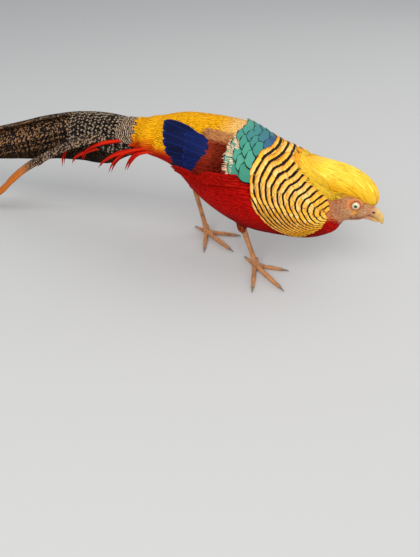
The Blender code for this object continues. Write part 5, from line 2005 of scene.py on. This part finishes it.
@dataclass
class Eyes:
    """The eyes with their pale irises and a beaded ring of orange skin round each."""

    radius: float = 5.2  # The eyeball's radius
    pupil: Row = (1.5, 1.8)  # Where the pupil gives way to the iris, as distances from the eye's axis
    rim: Row = (3.7, 4.2)  # Where the iris gives way to its dark rim
    lid: Row = (4.75, 4.35)  # Half length and half height of the ring of skin
    out: float = 2.7  # How far the ring lies out from the eyeball's middle
    thick: Row = (0.78, 0.1)  # The ring's radius, and how far its beads stand proud
    beads: int = 17  # How many beads it has
    count: int = 52  # Rings of points round the eye
    segments: int = 12  # Points in each

    def build(self) -> Pieces:
        """Dresses the eyes and builds the lids."""
        ring = HornFinish("orbital skin", (0.6, 0.16, 0.04), (0.5, 0.1, 0.03), roughness=0.5).dress()
        made = []
        for name, side in SIDES:
            centre = np.array([EYE[0], side * EYE[1], EYE[2]])
            eyeball = make_object(f"eyeball_{name}", *ball(centre, self.radius, (1, 1, 1), 40, 48))
            eyeball.data.materials.append(self._iris(centre))
            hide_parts(f"eye_{name}")
            lid = make_object(f"eyelids_{name}", *self._lids(centre, side))
            lid.data.materials.append(ring)
            for piece in (eyeball, lid):
                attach(piece, "root")
                made.append(piece)
        return made

    def _iris(self, centre: Array) -> bpy.types.Material:
        """An eye seen from its side: a black pupil in a cream iris with a dark rim.

        Args:
            centre: The eyeball's middle in mm.

        Returns:
            The material.
        """
        s = Shader("eye", 0.06, 0.6)
        s.surface.inputs["Coat Weight"].default_value = 1.0
        s.surface.inputs["Coat Roughness"].default_value = 0.02
        middle = centre * MM + SHIFT
        move = s.node("ShaderNodeMapping", None, {"Vector": s.place(), "Location": tuple(-middle)})
        parts = s.node("ShaderNodeSeparateXYZ", None, {0: move.outputs[0]})
        x, z = s.number(parts, 0), s.number(parts, 2)
        away = ((x * x + z * z) ** 0.5) / MM
        spoke = s.noise(move.outputs[0], 900, 2)
        iris = s.blend(spoke.step(0.3, 0.7), (0.82, 0.78, 0.5), (0.6, 0.52, 0.26))
        shade = s.blend(1 - away.step(*self.pupil), iris, (0.004, 0.004, 0.005))
        s.colour(s.blend(away.step(*self.rim), shade, (0.03, 0.014, 0.008)))
        return s.material

    def _lids(self, centre: Array, side: int) -> Solid:
        """A beaded ring of skin round an eye.

        Args:
            centre: The eyeball's middle in mm.
            side: Which side of the bird it is on.

        Returns:
            Its points and faces.
        """
        turn = circle(self.count)
        depth = np.array([0, side * self.out, 0])
        path = np.stack([np.cos(turn) * self.lid[0], 0 * turn, np.sin(turn) * self.lid[1]], 1) + centre + depth
        spin = circle(self.segments)[None, :, None]
        thick = self.thick[0] + self.thick[1] * np.sin(turn * self.beads)
        turned = unit(path - centre - depth)[:, None] * np.cos(spin) + np.array([0.0, side, 0.0]) * np.sin(spin)
        rings = path[:, None] + thick[:, None, None] * turned
        faces = []
        for i in range(self.count):
            here, ahead = i * self.segments, (i + 1) % self.count * self.segments
            for k in range(self.segments):
                beside = (k + 1) % self.segments
                face = (here + k, here + beside, ahead + beside, ahead + k)
                faces.append(face if side < 0 else face[::-1])
        return rings.reshape(-1, 3), faces


@dataclass
class Studio:
    """A plain pale floor, soft light and the camera at the photograph's angle."""

    place: Row = (112.9, -413.3, 335.0)  # The camera's place in mm
    pitch: float = 42.0  # How far it looks down, in degrees
    turn: float = 20.0  # How far it turns to its left
    sensor: float = 36.0  # The width of its sensor in mm
    focal: float = 419 / 557 * 36  # Its focal length in mm
    reach: float = 6.0  # Half the floor's width, in metres
    aim: Row = (0.3, 0.0, 0.1)  # What the lamps point at, in metres
    # Each lamp's name, place, size and power
    lamps: tuple[tuple[str, Row, float, float], ...] = (
        ("key", (0.35, -1.3, 1.5), 1.5, 27.0),
        ("fill", (1.5, 0.7, 1.3), 1.8, 12.0),
    )

    def build(self) -> None:
        """Builds the floor, the lights and the camera."""
        bpy.context.scene.view_settings.view_transform = "Standard"
        self._floor()
        self._lights()
        self._camera()

    def _floor(self) -> None:
        """A wide pale floor."""
        mesh = bpy.data.meshes.new("floor")
        corners = [(x * self.reach, y * self.reach, 0) for x, y in ((-1, -1), (1, -1), (1, 1), (-1, 1))]
        mesh.from_pydata(corners, [], [(0, 1, 2, 3)])
        floor = link_mesh("floor", mesh)
        mesh.materials.append(Shader("pale floor", 0.85, 0.2).colour((0.56, 0.55, 0.53)).material)

    def _lights(self) -> None:
        """A soft sky and two large lamps."""
        world = bpy.data.worlds.new("sky")
        world.use_nodes = True
        world.node_tree.nodes["Background"].inputs[0].default_value = (0.9, 0.94, 1.0, 1.0)
        world.node_tree.nodes["Background"].inputs[1].default_value = 0.62
        bpy.context.scene.world = world
        for name, place, size, power in self.lamps:
            data = bpy.data.lights.new(name, "AREA")
            data.shape = "SQUARE"
            data.size = size
            data.energy = power
            lamp = bpy.data.objects.new(name, data)
            lamp.location = place
            lamp.rotation_euler = (Vector(self.aim) - Vector(place)).to_track_quat("-Z", "Y").to_euler()
            bpy.context.scene.collection.objects.link(lamp)

    def _camera(self) -> None:
        """The camera, where the photograph was taken from."""
        data = bpy.data.cameras.new("camera")
        data.sensor_width = self.sensor
        data.lens = self.focal
        camera = bpy.data.objects.new("camera", data)
        camera.location = np.array(self.place) * MM + SHIFT
        camera.rotation_euler = (math.radians(90 - self.pitch), 0, math.radians(self.turn))
        bpy.context.scene.collection.objects.link(camera)
        bpy.context.scene.camera = camera


def main() -> None:
    """Builds the bird and the studio."""
    logging.basicConfig(level=logging.INFO, format="%(name)s %(message)s")
    skin = Skin()
    cape, coat, hood = Cape(skin), Coat(skin), Hood(skin)
    builds = (
        cape.ruff, cape.mantle, cape.fringe, coat.body, coat.flanks, coat.thighs, hood.crest, hood.veil, hood.face,
        Wings(skin).build, Tail(skin).build, Legs().build, Bill().build, Eyes().build,
    )
    for piece in [skin.piece] + [piece for build in builds for piece in build()]:
        LOG.info("%s: %d faces", piece.name, len(piece.data.polygons))
    Studio().build()


if __name__ == "__main__":
    main()
